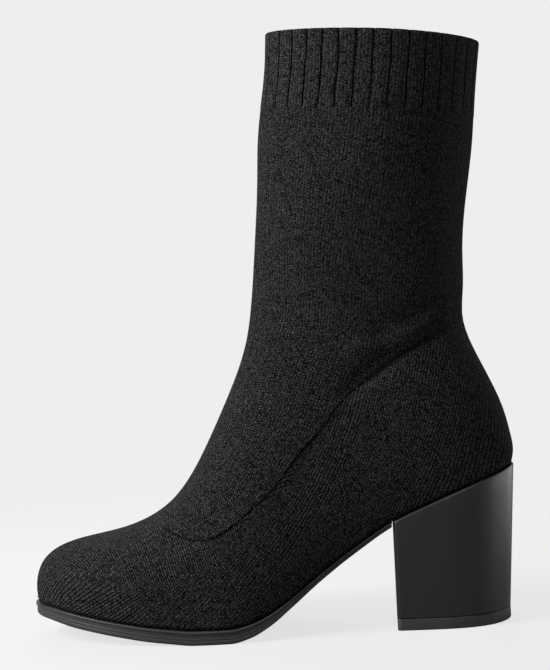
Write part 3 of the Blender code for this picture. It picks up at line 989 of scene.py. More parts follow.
    def material(self) -> bpy.types.Material:
        """Knit of two charts that meet at the gore line.

        It is darker in that line, and as painted shade in the crease, the rib grooves and the hem.
        The colour goes from the gap's painted shade to the yarn's with the product of the loops'
        relief, the fibres' tone, the hem's painted shade and the light that is left in line and
        grooves.

        Returns:
            The new material.
        """
        material, surface = new_material("black_jersey_knit")
        tree = material.node_tree
        place = add_node(tree, "ShaderNodeTexCoord").outputs["Object"]
        x = add_node(tree, "ShaderNodeSeparateXYZ", None, {0: place}).outputs[0]
        gore = add_node(tree, "ShaderNodeAttribute", {"attribute_name": "gore"}).outputs["Fac"]
        groove = add_node(tree, "ShaderNodeAttribute", {"attribute_name": "groove"}).outputs["Fac"]
        above = add_node(
            tree,
            "ShaderNodeMapRange",
            None,
            {"Value": gore, "From Min": -self.gore_blend, "From Max": self.gore_blend},
        )
        behind_toe = add_node(
            tree,
            "ShaderNodeMapRange",
            {"interpolation_type": "SMOOTHSTEP"},
            {"Value": x, "From Min": self.toe[0], "From Max": self.toe[1]},
        )
        shaft = add_node(
            tree,
            "ShaderNodeMath",
            {"operation": "MULTIPLY"},
            {0: above.outputs[0], 1: behind_toe.outputs[0]},
        )
        toe_top = add_node(tree, "ShaderNodeAttribute", {"attribute_name": "toe_top"}).outputs["Fac"]
        plain = add_node(
            tree, "ShaderNodeMath", {"operation": "MAXIMUM"}, {0: shaft.outputs[0], 1: toe_top}
        )
        relief = add_node(
            tree,
            "ShaderNodeMix",
            {"data_type": "FLOAT"},
            {
                "Factor": plain.outputs[0],
                "A": self.loops(tree, self.side_stitch),
                "B": self.loops(tree, self.shaft_stitch),
            },
        ).outputs[0]
        line = add_node(
            tree,
            "ShaderNodeMath",
            {"operation": "MULTIPLY"},
            {0: self.gore_shade(tree, gore, place, x), 1: behind_toe.outputs[0]},
        )
        # painted shade in the rib grooves, with the gore line and its crease
        shade = add_node(
            tree, "ShaderNodeMath", {"operation": "MAXIMUM"}, {0: line.outputs[0], 1: groove}
        )
        lit = add_node(
            tree,
            "ShaderNodeMapRange",
            None,
            {
                "Value": shade.outputs[0],
                "From Max": self.full_shade,
                "To Min": 1.0,
                "To Max": self.shaded,
            },
        )
        # painted shade along the hem, where the knit meets sole and heel
        rise = add_node(tree, "ShaderNodeAttribute", {"attribute_name": "rise"}).outputs["Fac"]
        hem = add_node(
            tree,
            "ShaderNodeMapRange",
            {"interpolation_type": "SMOOTHSTEP"},
            {"Value": rise, "From Max": self.hem, "To Min": self.hem_shade_tone},
        )
        fibre = add_node(
            tree,
            "ShaderNodeMath",
            {"operation": "MULTIPLY"},
            {0: self.flecks(tree, place), 1: hem.outputs[0]},
        )
        # the loops' relief paints the shade of the gaps between them into the colour
        yarn = add_node(
            tree, "ShaderNodeMath", {"operation": "MULTIPLY"}, {0: relief, 1: fibre.outputs[0]}
        )
        tone = add_node(
            tree, "ShaderNodeMath", {"operation": "MULTIPLY"}, {0: yarn.outputs[0], 1: lit.outputs[0]}
        )
        colour = add_node(
            tree,
            "ShaderNodeMix",
            {"data_type": "RGBA"},
            {"Factor": tone.outputs[0], "A": linear(self.gap_shade_colour), "B": linear(self.yarn_colour)},
        )
        tree.links.new(colour.outputs["Result"], surface.inputs["Base Color"])
        bump = add_node(
            tree,
            "ShaderNodeBump",
            None,
            {"Height": relief, "Distance": self.loop_relief, "Strength": self.loop_strength},
        )
        tree.links.new(bump.outputs[0], surface.inputs["Normal"])
        surface.inputs["Roughness"].default_value = self.roughness
        surface.inputs["Sheen Weight"].default_value = self.sheen
        surface.inputs["Sheen Roughness"].default_value = self.fuzz
        surface.inputs["Specular IOR Level"].default_value = self.gloss
        return material


@dataclass(frozen=True)
class MouldedRubber:
    """Moulded sole rubber: dense, dark grey, with a dull satin skin.

    The skin has soft paler clouds about a centimetre wide, and a fine grain. A mould's grain is a
    tenth of a millimetre, and it is drawn coarser here so that it shows.
    """

    dark: str = "#36383b"
    light: str = "#58595c"
    clouds_per_metre: float = 90.0
    grain: float = 0.35 * MILLIMETRE
    grain_relief: float = 0.05 * MILLIMETRE
    grain_strength: float = 0.5
    roughness: float = 0.42
    ior: float = 1.52

    def material(self) -> bpy.types.Material:
        """Grey between its dark and its light with the clouds, and the grain as a bump.

        Returns:
            The new material.
        """
        material, surface = new_material("moulded_rubber")
        tree = material.node_tree
        place = add_node(tree, "ShaderNodeTexCoord").outputs["Object"]
        cloud = add_node(
            tree,
            "ShaderNodeTexNoise",
            None,
            {"Vector": place, "Scale": self.clouds_per_metre, "Detail": 3.0},
        )
        colour = add_node(
            tree,
            "ShaderNodeMix",
            {"data_type": "RGBA"},
            {"Factor": cloud.outputs[0], "A": linear(self.dark), "B": linear(self.light)},
        )
        tree.links.new(colour.outputs["Result"], surface.inputs["Base Color"])
        grain = add_node(
            tree, "ShaderNodeTexNoise", None, {"Vector": place, "Scale": 1 / self.grain, "Detail": 2.0}
        )
        bump = add_node(
            tree,
            "ShaderNodeBump",
            None,
            {
                "Height": grain.outputs[0],
                "Distance": self.grain_relief,
                "Strength": self.grain_strength,
            },
        )
        tree.links.new(bump.outputs[0], surface.inputs["Normal"])
        surface.inputs["Roughness"].default_value = self.roughness
        surface.inputs["IOR"].default_value = self.ior
        return material


@dataclass(frozen=True)
class HeelLacquer:
    """Lacquered block heel: a smooth black film, satin, that mirrors the room softly.

    The film's gloss changes a little from place to place, as where it ran while it dried, which
    breaks the mirror image up into faint long ripples.
    """

    colour: str = "#323132"
    ripple: float = 9 * MILLIMETRE
    roughness: tuple[float, float] = (0.36, 0.46)
    ior: float = 1.5
    coat: float = 0.3
    coat_roughness: float = 0.25

    def material(self) -> bpy.types.Material:
        """Near black film whose roughness follows the ripples.

        Returns:
            The new material.
        """
        material, surface = new_material("satin_lacquer")
        tree = material.node_tree
        place = add_node(tree, "ShaderNodeTexCoord").outputs["Object"]
        cloud = add_node(
            tree, "ShaderNodeTexNoise", None, {"Vector": place, "Scale": 1 / self.ripple, "Detail": 3.0}
        )
        rough = add_node(
            tree,
            "ShaderNodeMapRange",
            None,
            {"Value": cloud.outputs[0], "To Min": self.roughness[0], "To Max": self.roughness[1]},
        )
        tree.links.new(rough.outputs[0], surface.inputs["Roughness"])
        surface.inputs["Base Color"].default_value = linear(self.colour)
        surface.inputs["IOR"].default_value = self.ior
        surface.inputs["Coat Weight"].default_value = self.coat
        surface.inputs["Coat Roughness"].default_value = self.coat_roughness
        return material


@dataclass(frozen=True)
class TopPieceRubber:
    """Hard top piece of pressed rubber: dull black, with a finely ground edge.

    Grinding leaves fine lines round the edge. They are half a millimetre apart, coarser than a
    belt's grit, because finer ones wouldn't show.
    """

    dark: str = "#3a3a3b"
    light: str = "#646465"
    roughness: float = 0.5
    grind: float = 0.5 * MILLIMETRE
    grind_length: float = 0.06
    grind_relief: float = 0.04 * MILLIMETRE
    grind_strength: float = 0.5

    def material(self) -> bpy.types.Material:
        """Noise drawn out level by one over the length, as two tones and a bump.

        Returns:
            The new material.
        """
        material, surface = new_material("pressed_rubber")
        tree = material.node_tree
        place = add_node(tree, "ShaderNodeTexCoord").outputs["Object"]
        drawn_out = (self.grind_length, self.grind_length, 1.0)
        lines = add_node(tree, "ShaderNodeMapping", None, {"Vector": place, "Scale": drawn_out})
        grind = add_node(
            tree,
            "ShaderNodeTexNoise",
            None,
            {"Vector": lines.outputs[0], "Scale": 1 / self.grind, "Detail": 2.0},
        )
        colour = add_node(
            tree,
            "ShaderNodeMix",
            {"data_type": "RGBA"},
            {"Factor": grind.outputs[0], "A": linear(self.dark), "B": linear(self.light)},
        )
        tree.links.new(colour.outputs["Result"], surface.inputs["Base Color"])
        bump = add_node(
            tree,
            "ShaderNodeBump",
            None,
            {
                "Height": grind.outputs[0],
                "Distance": self.grind_relief,
                "Strength": self.grind_strength,
            },
        )
        tree.links.new(bump.outputs[0], surface.inputs["Normal"])
        surface.inputs["Roughness"].default_value = self.roughness
        return material


@dataclass(frozen=True)
class InsoleCloth:
    """Insole covered in plain woven cloth: matt black with a fine over and under weave.

    Such a cloth has a thread every half millimetre. It is drawn coarser here so that it shows.
    """

    thread: float = 0.9 * MILLIMETRE
    dark: str = "#1a1918"
    light: str = "#272523"
    relief: float = 0.08 * MILLIMETRE
    strength: float = 0.6
    roughness: float = 0.9

    def material(self) -> bpy.types.Material:
        """Two sets of crossing threads as light and dark squares and a low relief.

        Returns:
            The new material.
        """
        material, surface = new_material("woven_insole_cloth")
        tree = material.node_tree
        place = add_node(tree, "ShaderNodeTexCoord").outputs["Object"]
        weave = add_node(
            tree,
            "ShaderNodeTexChecker",
            None,
            {
                "Vector": place,
                "Scale": 1 / self.thread,
                "Color1": linear(self.dark),
                "Color2": linear(self.light),
            },
        )
        tree.links.new(weave.outputs[0], surface.inputs["Base Color"])
        bump = add_node(
            tree,
            "ShaderNodeBump",
            None,
            {"Height": weave.outputs[1], "Distance": self.relief, "Strength": self.strength},
        )
        tree.links.new(bump.outputs[0], surface.inputs["Normal"])
        surface.inputs["Roughness"].default_value = self.roughness
        return material


@dataclass(frozen=True)
class Fold:
    """Soft ridge or trough in the knit along a line in the side view.

    Attributes:
        line: points as shares of the length and of the height of the ankle's bend.
        height: how far it stands out, or in where it is below zero.
        width: half the width at which a third of the height is left.
    """

    line: tuple[tuple[float, float], ...]
    height: float
    width: float

    def relief(self, last: Last, side_view: Array) -> Array:
        """Height of the fold around its line: its own times exp(-(distance / width)^2).

        Args:
            last: the last that the line's shares refer to.
            side_view: points (x, z), a row each.

        Returns:
            A height for each point.
        """
        points = last.side_view(np.array(self.line))
        dense = smooth_line(points, np.linspace(0, 1, FOLD_SAMPLES))
        return self.height * np.exp(-((from_line(side_view, dense) / self.width) ** 2))


# Folds of the ankle: the ridge at its bend, the trough under it that runs along the gore line,
# a wide hollow at that line's steep part, and the trough above the ridge
FOLDS = (
    Fold(
        line=(
            (0.900, 0.944),
            (0.852, 0.918),
            (0.811, 0.888),
            (0.770, 0.862),
            (0.729, 0.852),
            (0.689, 0.850),
        ),
        height=1.7 * MILLIMETRE,
        width=3.4 * MILLIMETRE,
    ),
    Fold(
        line=((0.920, 0.930), (0.840, 0.877), (0.777, 0.829), (0.720, 0.774), (0.680, 0.728)),
        height=-1.6 * MILLIMETRE,
        width=3.8 * MILLIMETRE,
    ),
    Fold(
        line=((0.750, 0.812), (0.705, 0.768), (0.665, 0.722)),
        height=-1.1 * MILLIMETRE,
        width=5.0 * MILLIMETRE,
    ),
    Fold(
        line=((0.900, 0.990), (0.852, 0.966), (0.811, 0.940), (0.770, 0.905), (0.740, 0.892)),
        height=-1.9 * MILLIMETRE,
        width=4.4 * MILLIMETRE,
    ),
)


@dataclass
class KnitUpper:
    """Knitted upper with its ribbed cuff: one hollow wall, open at the collar and along the sole."""

    last: Last
    yarn: KnitYarn = field(default_factory=KnitYarn)

    # Cuff, ribs and hem, with the steps across a rib as shares of its width. The grooves wander
    # in waves, each with its turn up the cuff, its turn from rib to rib and its share
    cuff_wall: float = 0.0030
    cuff_length: float = 0.0385
    rib_count: int = 32
    rib_groove_depth: float = 0.0011
    rib_crown: float = 0.0003
    rib_steps: tuple[float, ...] = (0, 0.055, 0.2, 0.4, 0.6, 0.8, 0.945)
    rib_wander: float = 0.0002
    rib_waves: tuple[tuple[float, float, float], ...] = ((8, 2.1, 1.0), (19, 3.7, 0.6))
    rim_notch: float = 0.3
    feather_tuck: float = 0.0007
    feather_reach: float = 0.0022

    # Rings in a section, extra ones at the toe tip, round the heel and at the cuff's foot, and how
    # far past its foot the cuff is whole and its ribs and grooves begin, all in sections
    rings_per_section: int = 13
    tip_rings: tuple[float, ...] = (0.02, 0.04, 0.11, 0.19)
    heel_rings: int = 12
    cuff_foot_rings: tuple[float, ...] = (-0.03, 0.02, 0.045, 0.07, 0.12)
    cuff_rings: int = 9
    cuff_rings_from: float = 0.2
    cuff_step: float = 0.06
    rib_start: tuple[float, float] = (0.015, 0.045)
    groove_start: float = 0.03
    rim_steps: int = 7

    # Charts of the knit: real spacing of wales and courses, and how the fan's places are corrected
    wale: float = 0.00172
    course: float = 0.00115
    fan_rounds: int = 60
    fan_keep: float = 0.6

    # Where the wales show as lines on toe and sides, and where the plain chart runs on over the
    # toe's top: from and to, in metres along or across, and in millimetres above the foot line
    toe_lines_ahead: tuple[float, float] = (0.045, 0.070)
    toe_lines_up: tuple[float, float] = (12.0, 21.0)
    side_lines_along: tuple[float, float] = (-0.020, 0.022)
    side_lines_share: float = 0.75
    toe_top_across: tuple[float, float] = (0.012, 0.024)
    toe_top_up: tuple[float, float] = (15.0, 22.0)
    toe_top_ahead: tuple[float, float] = (0.030, 0.045)

    # Soft relief: the flat strip on the middle lines, the panel's edge and the slow unevenness, and
    # over how much of a section relief begins behind the tip and the tuck ends above the seat
    flat_middle: float = 0.012
    panel_edge: float = 0.5 * MILLIMETRE
    panel_fade: float = 0.004
    panel_along: tuple[float, float] = (-0.060, -0.045)
    lump_reach: float = 0.021
    lump_height: float = 0.08 * MILLIMETRE
    smooth_tip: float = 0.4
    smooth_seat: float = 0.35

    def places(self) -> Array:
        """Places of the rings along SECTIONS, closer round the toe tip, the heel and the cuff's foot.

        Returns:
            The places, rising.
        """
        even = np.linspace(0, CUFF_SECTION, CUFF_SECTION * self.rings_per_section + 1)
        halfway = np.arange(1 - self.heel_rings, self.heel_rings, 2) / 2
        heel = HEEL_SECTION + halfway / self.rings_per_section
        top = COLLAR_SECTION - self.cuff_wall / 2 / self.cuff_length
        cuff_foot = CUFF_SECTION + np.array(self.cuff_foot_rings)
        cuff = np.linspace(CUFF_SECTION + self.cuff_rings_from, top, self.cuff_rings)
        return np.unique(np.round(np.concatenate([even, self.tip_rings, heel, cuff_foot, cuff]), 6))

    def shares(self) -> Array:
        """Shares down each side: every rib of the cuff is cut at the same steps.

        Returns:
            The shares, from 0 to 1.
        """
        ribs = self.rib_count // 2
        steps = np.arange(ribs)[:, None] + np.array(self.rib_steps)[None]
        return np.append(steps.ravel() / ribs, 1.0)

    def normals(self, rings: Array, at: Array) -> Array:
        """Outward directions, as the cross product of the steps along and around the rings.

        Args:
            rings: points of the outside, as (ring, point, coordinate).
            at: places of the rings.

        Returns:
            Unit vectors as (ring, point, coordinate).
        """
        normals = np.cross(np.gradient(rings, axis=0), np.gradient(rings, axis=1))
        closed = at >= HEEL_SECTION
        seam = normals[closed, 0] + normals[closed, -1]
        normals[closed, 0] = seam
        normals[closed, -1] = seam
        normals[at == 0] = (-1, 0, 0)
        normals[at == HEEL_SECTION, :: rings.shape[1] - 1] = (1, 0, 0)
        return unit(normals)

    def rib_relief(self, at: Array, share: Array) -> tuple[Array, Array]:
        """Relief of the cuff's ribs, and how deep in a groove each point is.

        Across a rib it is a low crown 4t(1 - t), and at the rib's ends a groove falls in that is
        as wide as the first step. Both begin over about a millimetre at the cuff's foot.

        Args:
            at: places of the rings.
            share: shares down a side.

        Returns:
            Relief in metres and depth from 0 to 1, both as (ring, point of both sides).
        """
        part = (share * self.rib_count / 2) % 1
        edge = np.minimum(part, 1 - part) / self.rib_steps[1]
        depth = np.clip(1 - edge, 0, 1)
        crown = 4 * part * (1 - part)
        both = np.concatenate([depth[::-1], depth[1:]])
        crowns = np.concatenate([crown[::-1], crown[1:]])
        first, last = self.rib_start
        rise = soft_step(at, CUFF_SECTION + first, CUFF_SECTION + last)[:, None]
        relief = rise * (self.rib_crown * crowns - self.rib_groove_depth * both)
        return relief, rise * both

    def rib_shift(self, rings: Array, at: Array, share: Array) -> Array:
        """Slight wander of the cuff's grooves, along each ring.

        It is the wander times the sum over the waves of share sin(up h + turn r), where h is the
        share of the cuff's height and r counts the ribs. It fades at the cuff's foot and on the
        first and last rib.

        Args:
            rings: points of the outside, as (ring, point, coordinate).
            at: places of the rings.
            share: shares down a side.

        Returns:
            Offsets as (ring, point, coordinate).
        """
        height = (at - CUFF_SECTION)[:, None]
        ribs = np.concatenate([-share[::-1], share[1:]])[None] * self.rib_count / 2
        swing = sum(part * np.sin(up * height + turn * ribs) for up, turn, part in self.rib_waves)
        inner = soft_step(self.rib_count / 2 - np.abs(ribs), 0, 1)
        size = self.rib_wander * swing * inner * soft_step(height, 0.0, self.groove_start)
        return size[..., None] * unit(np.gradient(rings, axis=1) + TINY)

    def knit_chart(self, rings: Array, halves: Array, share: Array) -> Array:
        """Wale and course of each point, with the wales level with the front line.

        The wale is the share down the side times the side's length over the wale spacing. The
        course is the length run down each column.

        Args:
            rings: points of the wall, as (ring, point, coordinate).
            halves: length of each ring's two sides, as (ring, 2).
            share: shares down a side.

        Returns:
            Pairs as (ring, point, 2).
        """
        wales = halves / self.wale
        outer = -share[::-1][None] * wales[:, :1]
        inner = share[1:][None] * wales[:, 1:]
        across = np.concatenate([outer, inner], axis=1)
        along = path_length(np.moveaxis(rings, 0, 1)).T / self.course
        return np.stack([across, along], axis=-1)

    def fan_chart(self, rings: Array) -> Array:
        """Wale and course of toe, sides and heel, whose wales fan out from the sole's edge.

        The surface is rolled out round the heel's back. A wale that starts at the place f on the
        edge lies at f + lean h + bend h^2 at the height h, and f is found by repeated correction,
        each time keeping a share of what it was. Wales are counted by the sum of 1 / pitch along
        the edge, below zero on the outer side. Courses are counted by the length run up a wale,
        plus the sum along the edge of the cosine of the angle between wale and edge, which keeps
        them square to the wales.

        Args:
            rings: points of the wall, as (ring, point, coordinate).

        Returns:
            Pairs as (ring, point, 2).
        """
        x, y, z = np.moveaxis(rings, -1, 0)
        radius = self.last.heel_width / 2
        centre = self.last.length / 2 - radius
        round_back = centre + radius * (pi / 2 - np.arctan2(np.abs(y), np.maximum(x - centre, TINY)))
        rolled = np.where(x > centre, round_back, x)
        start, lean, bend, pitch = FAN.T
        known = start * self.last.length
        foot = rolled.copy()
        for _ in range(self.fan_rounds):
            height = np.maximum(z - self.last.foot(np.minimum(foot, self.last.length / 2)), 0)
            slope = ease(foot, known, lean) + ease(foot, known, bend) * height / MILLIMETRE
            foot = self.fan_keep * foot + (1 - self.fan_keep) * (rolled - slope * height)
        along = np.linspace(known[0], known[-1], CURVE_SAMPLES)
        angle = ease(along, known, lean)
        step = along[1] - along[0]
        wales = np.cumsum(step / (ease(along, known, pitch) * MILLIMETRE))
        square = np.cumsum(step * angle / np.hypot(1, angle))
        wale = np.interp(foot, along, wales) + np.minimum(foot - known[0], 0) / (pitch[0] * MILLIMETRE)
        course = (height * np.hypot(1, slope) + np.interp(foot, along, square)) / self.course
        middle = wale.shape[1] // 2
        side = np.repeat([Side.OUTER.value, Side.INNER.value], (middle + 1, middle))
        return np.stack([side * wale, course], axis=-1)

    def rise(self, rings: Array) -> Array:
        """Height of points above the foot line in millimetres, as (ring, point)."""
        x, z = rings[..., 0], rings[..., 2]
        return (z - self.last.foot(np.minimum(x, self.last.length / 2)) - self.last.gap) / MILLIMETRE

    def wales_show(self, rings: Array, at: Array, gore: Array) -> Array:
        """Where the wales show as lines and the courses don't, from 0 to 1.

        Below the gore line it is 1 low on the toe, and a named share over the waist and the heel.
        Between them the courses show instead. Above the line it is 1 on the cuff.

        Args:
            rings: points of the wall, as (ring, point, coordinate).
            at: places of the rings.
            gore: signed distance from the gore line, as (ring, point).

        Returns:
            Shares as (ring, point).
        """
        x = rings[..., 0]
        toe = soft_step(-x, *self.toe_lines_ahead)
        toe = toe * (1 - soft_step(self.rise(rings), *self.toe_lines_up))
        side = np.maximum(toe, self.side_lines_share * soft_step(x, *self.side_lines_along))
        cuff = soft_step(at, CUFF_SECTION, CUFF_SECTION + self.cuff_step)[:, None]
        return np.where(gore > 0, cuff, side)

    def toe_top(self, rings: Array) -> Array:
        """Where the plain chart runs on over the top of the toe, from 0 to 1.

        Args:
            rings: points of the wall, as (ring, point, coordinate).

        Returns:
            Shares as (ring, point).
        """
        x, y, _ = np.moveaxis(rings, -1, 0)
        middle = 1 - soft_step(np.abs(y), *self.toe_top_across)
        high = soft_step(self.rise(rings), *self.toe_top_up)
        return middle * high * soft_step(-x, *self.toe_top_ahead)

    def soft_relief(self, rings: Array, gore: Array) -> Array:
        """Folds at the ankle, the panel edge at the gore line, and a slight unevenness.

        The folds' heights are summed. The panel's edge is a step that fades as exp(-d / fade) with
        the distance d above the line. The unevenness is its height times sin(1.3x + 2 sin z) +
        sin(1.7z + y + 1.1) + sin(1.9y - x + 0.4), with x, y and z in units of its reach.

        Args:
            rings: points of the wall, as (ring, point, coordinate).
            gore: signed distance from the gore line in metres, as (ring, point).

        Returns:
            Relief in metres, as (ring, point).
        """
        side_view = rings[..., ::2].reshape(-1, 2)
        folds = sum(fold.relief(self.last, side_view) for fold in FOLDS).reshape(gore.shape)
        wide = soft_step(np.abs(rings[..., 1]), 0.0, self.flat_middle)
        panel = self.panel_edge * np.exp(-np.maximum(gore, 0) / self.panel_fade) * (gore > 0)
        reach = soft_step(rings[..., 0], *self.panel_along)
        x, y, z = np.moveaxis(rings, -1, 0) / self.lump_reach
        uneven = np.sin(x * 1.3 + 2 * np.sin(z)) + np.sin(z * 1.7 + y + 1.1) + np.sin(y * 1.9 - x + 0.4)
        return wide * folds + panel * wide * reach + self.lump_height * uneven

    def feather(self, run: Array, at: Array) -> Array:
        """How deep the wall is drawn in at its lower edge, where it goes under onto the last.

        It is the tuck times (1 - d / reach)^2 with the length d from the edge, along the foot, and
        it fades within a part of a section above the heel seat.

        Args:
            run: length run along each ring, as (ring, point).
            at: places of the rings.

        Returns:
            Depth in metres, as (ring, point).
        """
        from_edge = np.minimum(run, run[:, -1:] - run)
        near = np.clip(1 - from_edge / self.feather_reach, 0, 1) ** 2
        above_seat = soft_step(at, HEEL_SECTION + self.smooth_seat, HEEL_SECTION)
        return self.feather_tuck * (near * np.where(at < HEEL_SECTION, 1.0, above_seat)[:, None])

    def lining(self, outside: Array, normals: Array, at: Array) -> Array:
        """Inside of the wall: the outside moved in by the wall, with its lower edge on the foot line.

        Args:
            outside: points of the outside without relief, as (ring, point, coordinate).
            normals: outward directions there.
            at: places of the rings.

        Returns:
            Points as (ring, point, coordinate).
        """
        thicker = soft_step(at, CUFF_SECTION, CUFF_SECTION + self.cuff_step)
        wall = self.last.knit_wall + (self.cuff_wall - self.last.knit_wall) * thicker
        inside = outside - wall[:, None, None] * normals
        foot_z = self.last.foot(np.minimum(inside[..., 0], self.last.length / 2)) + self.last.gap
        on_foot = at <= HEEL_SECTION
        for edge in (0, -1):
            inside[on_foot, edge, 2] = foot_z[on_foot, edge]
        return inside

    def over_collar(self, values: Array) -> Array:
        """Rows of the outside, the highest again for each step of the rim, and all down the inside."""
        return np.concatenate([values, np.repeat(values[-1:], self.rim_steps, axis=0), values[::-1]])

    def sewn(self, at: Array, around: int) -> tuple[Array, Array]:
        """Faces of the whole wall, and which of its points are one.

        Rings above the heel seat close at the back, and the toe tip is one point outside and one
        inside. Along the foot a strip on each side joins the outside's ends to the inside's.

        Args:
            at: places of the outside's rings.
            around: number of points in a ring.

        Returns:
            Four point numbers a face, and for each point the number of the one it is welded to.
        """
        closed = self.over_collar(at >= HEEL_SECTION)
        rows = len(closed)
        number = np.arange(rows * around).reshape(rows, around)
        same = number.copy()
        same[closed, -1] = number[closed, 0]
        same[0] = number[0, 0]
        same[-1] = number[-1, 0]
        low = np.flatnonzero(at < HEEL_SECTION)
        out, back = number[low], number[::-1][low]
        out_next, back_next = number[low + 1], number[::-1][low + 1]
        left = np.stack([out_next[:, 0], out[:, 0], back[:, 0], back_next[:, 0]], axis=-1)
        right = np.stack([out[:, -1], out_next[:, -1], back_next[:, -1], back[:, -1]], axis=-1)
        return np.concatenate([grid_quads(rows, around), left, right]), same

    def build(self) -> bpy.types.Object:
        """Makes the wall as one grid: up the outside, over the collar and down the inside.

        Returns:
            The new object.
        """
        at = self.places()
        share = self.shares()
        smooth = self.last.upper_rings(at, share)
        normals = self.normals(smooth, at)
        run = path_length(smooth)
        middle = len(share) - 1
        halves = np.stack([run[:, middle], run[:, -1] - run[:, middle]], axis=-1)
        gore_line = smooth_line(self.last.side_view(GORE_LINE), np.linspace(0, 1, GORE_SAMPLES))
        gore = from_line(smooth[..., ::2].reshape(-1, 2), gore_line).reshape(run.shape)

        shifted = smooth + self.rib_shift(smooth, at, share)
        ribs, depth = self.rib_relief(at, share)
        behind_tip = soft_step(at, 0.0, self.smooth_tip)[:, None]
        relief = ribs + self.soft_relief(shifted, gore) * behind_tip - self.feather(run, at)
        outside = shifted + relief[..., None] * normals
        rim = self.collar_rim(outside[-2:], normals[-1], depth[-1])
        rings = np.concatenate([outside, rim, self.lining(shifted, normals, at)[::-1]])

        chart = self.knit_chart(rings, self.over_collar(halves), share)
        quads, same = self.sewn(at, rings.shape[1])
        millimetres = self.over_collar(gore) / MILLIMETRE
        over_rim = np.linspace(1, 0, len(rim))[:, None] * depth[-1:]
        measures = {
            "gore": millimetres,
            # depth in the rib grooves, which the knit paints as shade
            "groove": np.concatenate([depth, over_rim, np.zeros_like(depth)]),
            "rise": self.rise(rings),
            "wales_show": self.wales_show(rings, self.over_collar(at), millimetres),
            "toe_top": self.toe_top(rings),
        }
        return put_mesh(
            "knit_upper",
            rings.reshape(-1, 3),
            quads,
            same.ravel(),
            {"knit": chart.reshape(-1, 2), "heel_knit": self.fan_chart(rings).reshape(-1, 2)},
            {label: values.ravel() for label, values in measures.items()},
            KNIT_SHARP_TURN,
        )

    def collar_rim(self, last_rings: Array, normals: Array, depth: Array) -> Array:
        """Round edge of the collar, as a half circle from the outside over to the inside.

        Args:
            last_rings: the two highest rings of the outside.
            normals: outward directions along the highest one.
            depth: how deep in a groove each of its points is.

        Returns:
            Points as (step, point, coordinate).
        """
        radius = self.cuff_wall / 2
        rise = last_rings[1] - last_rings[0]
        rise = unit(rise - (rise * normals).sum(-1, keepdims=True) * normals)
        centre = last_rings[1] - radius * normals + (self.rib_groove_depth * depth)[:, None] * normals
        turn = np.linspace(0, pi, self.rim_steps + 2)[1:-1, None, None]
        notch = 1 - self.rim_notch * depth[None, :, None] * np.cos(turn / 2) ** 2
        return centre + radius * notch * (np.cos(turn) * normals + np.sin(turn) * rise)

    def dress(self, piece: bpy.types.Object) -> None:
        """Gives the wall its knit."""
        piece.data.materials.append(self.yarn.material())


@dataclass
class Outsole:
    """Moulded outsole from the toe to the heel's breast, with a lip round its upper edge."""

    last: Last
    rubber: MouldedRubber = field(default_factory=MouldedRubber)
    lip: float = 0.0005
    stations: int = 161

    # Side from the floor up: shares of the lip inward and of the thickness upward
    profile: tuple[tuple[float, float], ...] = (
        (1.8, 0.00),
        (1.3, 0.05),
        (1.0, 0.13),
        (1.0, 0.30),
        (1.2, 0.33),
        (1.0, 0.36),
        (1.0, 0.53),
        (1.2, 0.56),
        (1.0, 0.59),
        (1.0, 0.77),
        (1.1, 0.80),
        (0.2, 0.83),
        (0.0, 0.86),
        (0.0, 0.96),
        (0.3, 1.00),
    )

    def build(self) -> bpy.types.Object:
        """Makes the sole as layers, each the outline drawn in and raised by the side's profile.

        Returns:
            The new object.
        """
        breast = 1 - (self.last.heel_length + self.last.gap) / self.last.length
        turn = np.linspace(0, np.arccos(1 - 2 * breast), self.stations)
        along = (1 - np.cos(turn)) / 2
        layers = []
        for inward, up in self.profile:
            edges = self.last.outline(along, inward * self.lip)
            low = self.last.tread(edges[..., 0])
            heights = low + up * (self.last.foot(edges[..., 0]) - low)
            layers.append(np.concatenate([edges, heights[..., None]], axis=-1))
        return put_stack("moulded_outsole", np.stack(layers), SOLE_SHARP_TURN)

    def dress(self, piece: bpy.types.Object) -> None:
        """Gives the sole its rubber."""
        piece.data.materials.append(self.rubber.material())


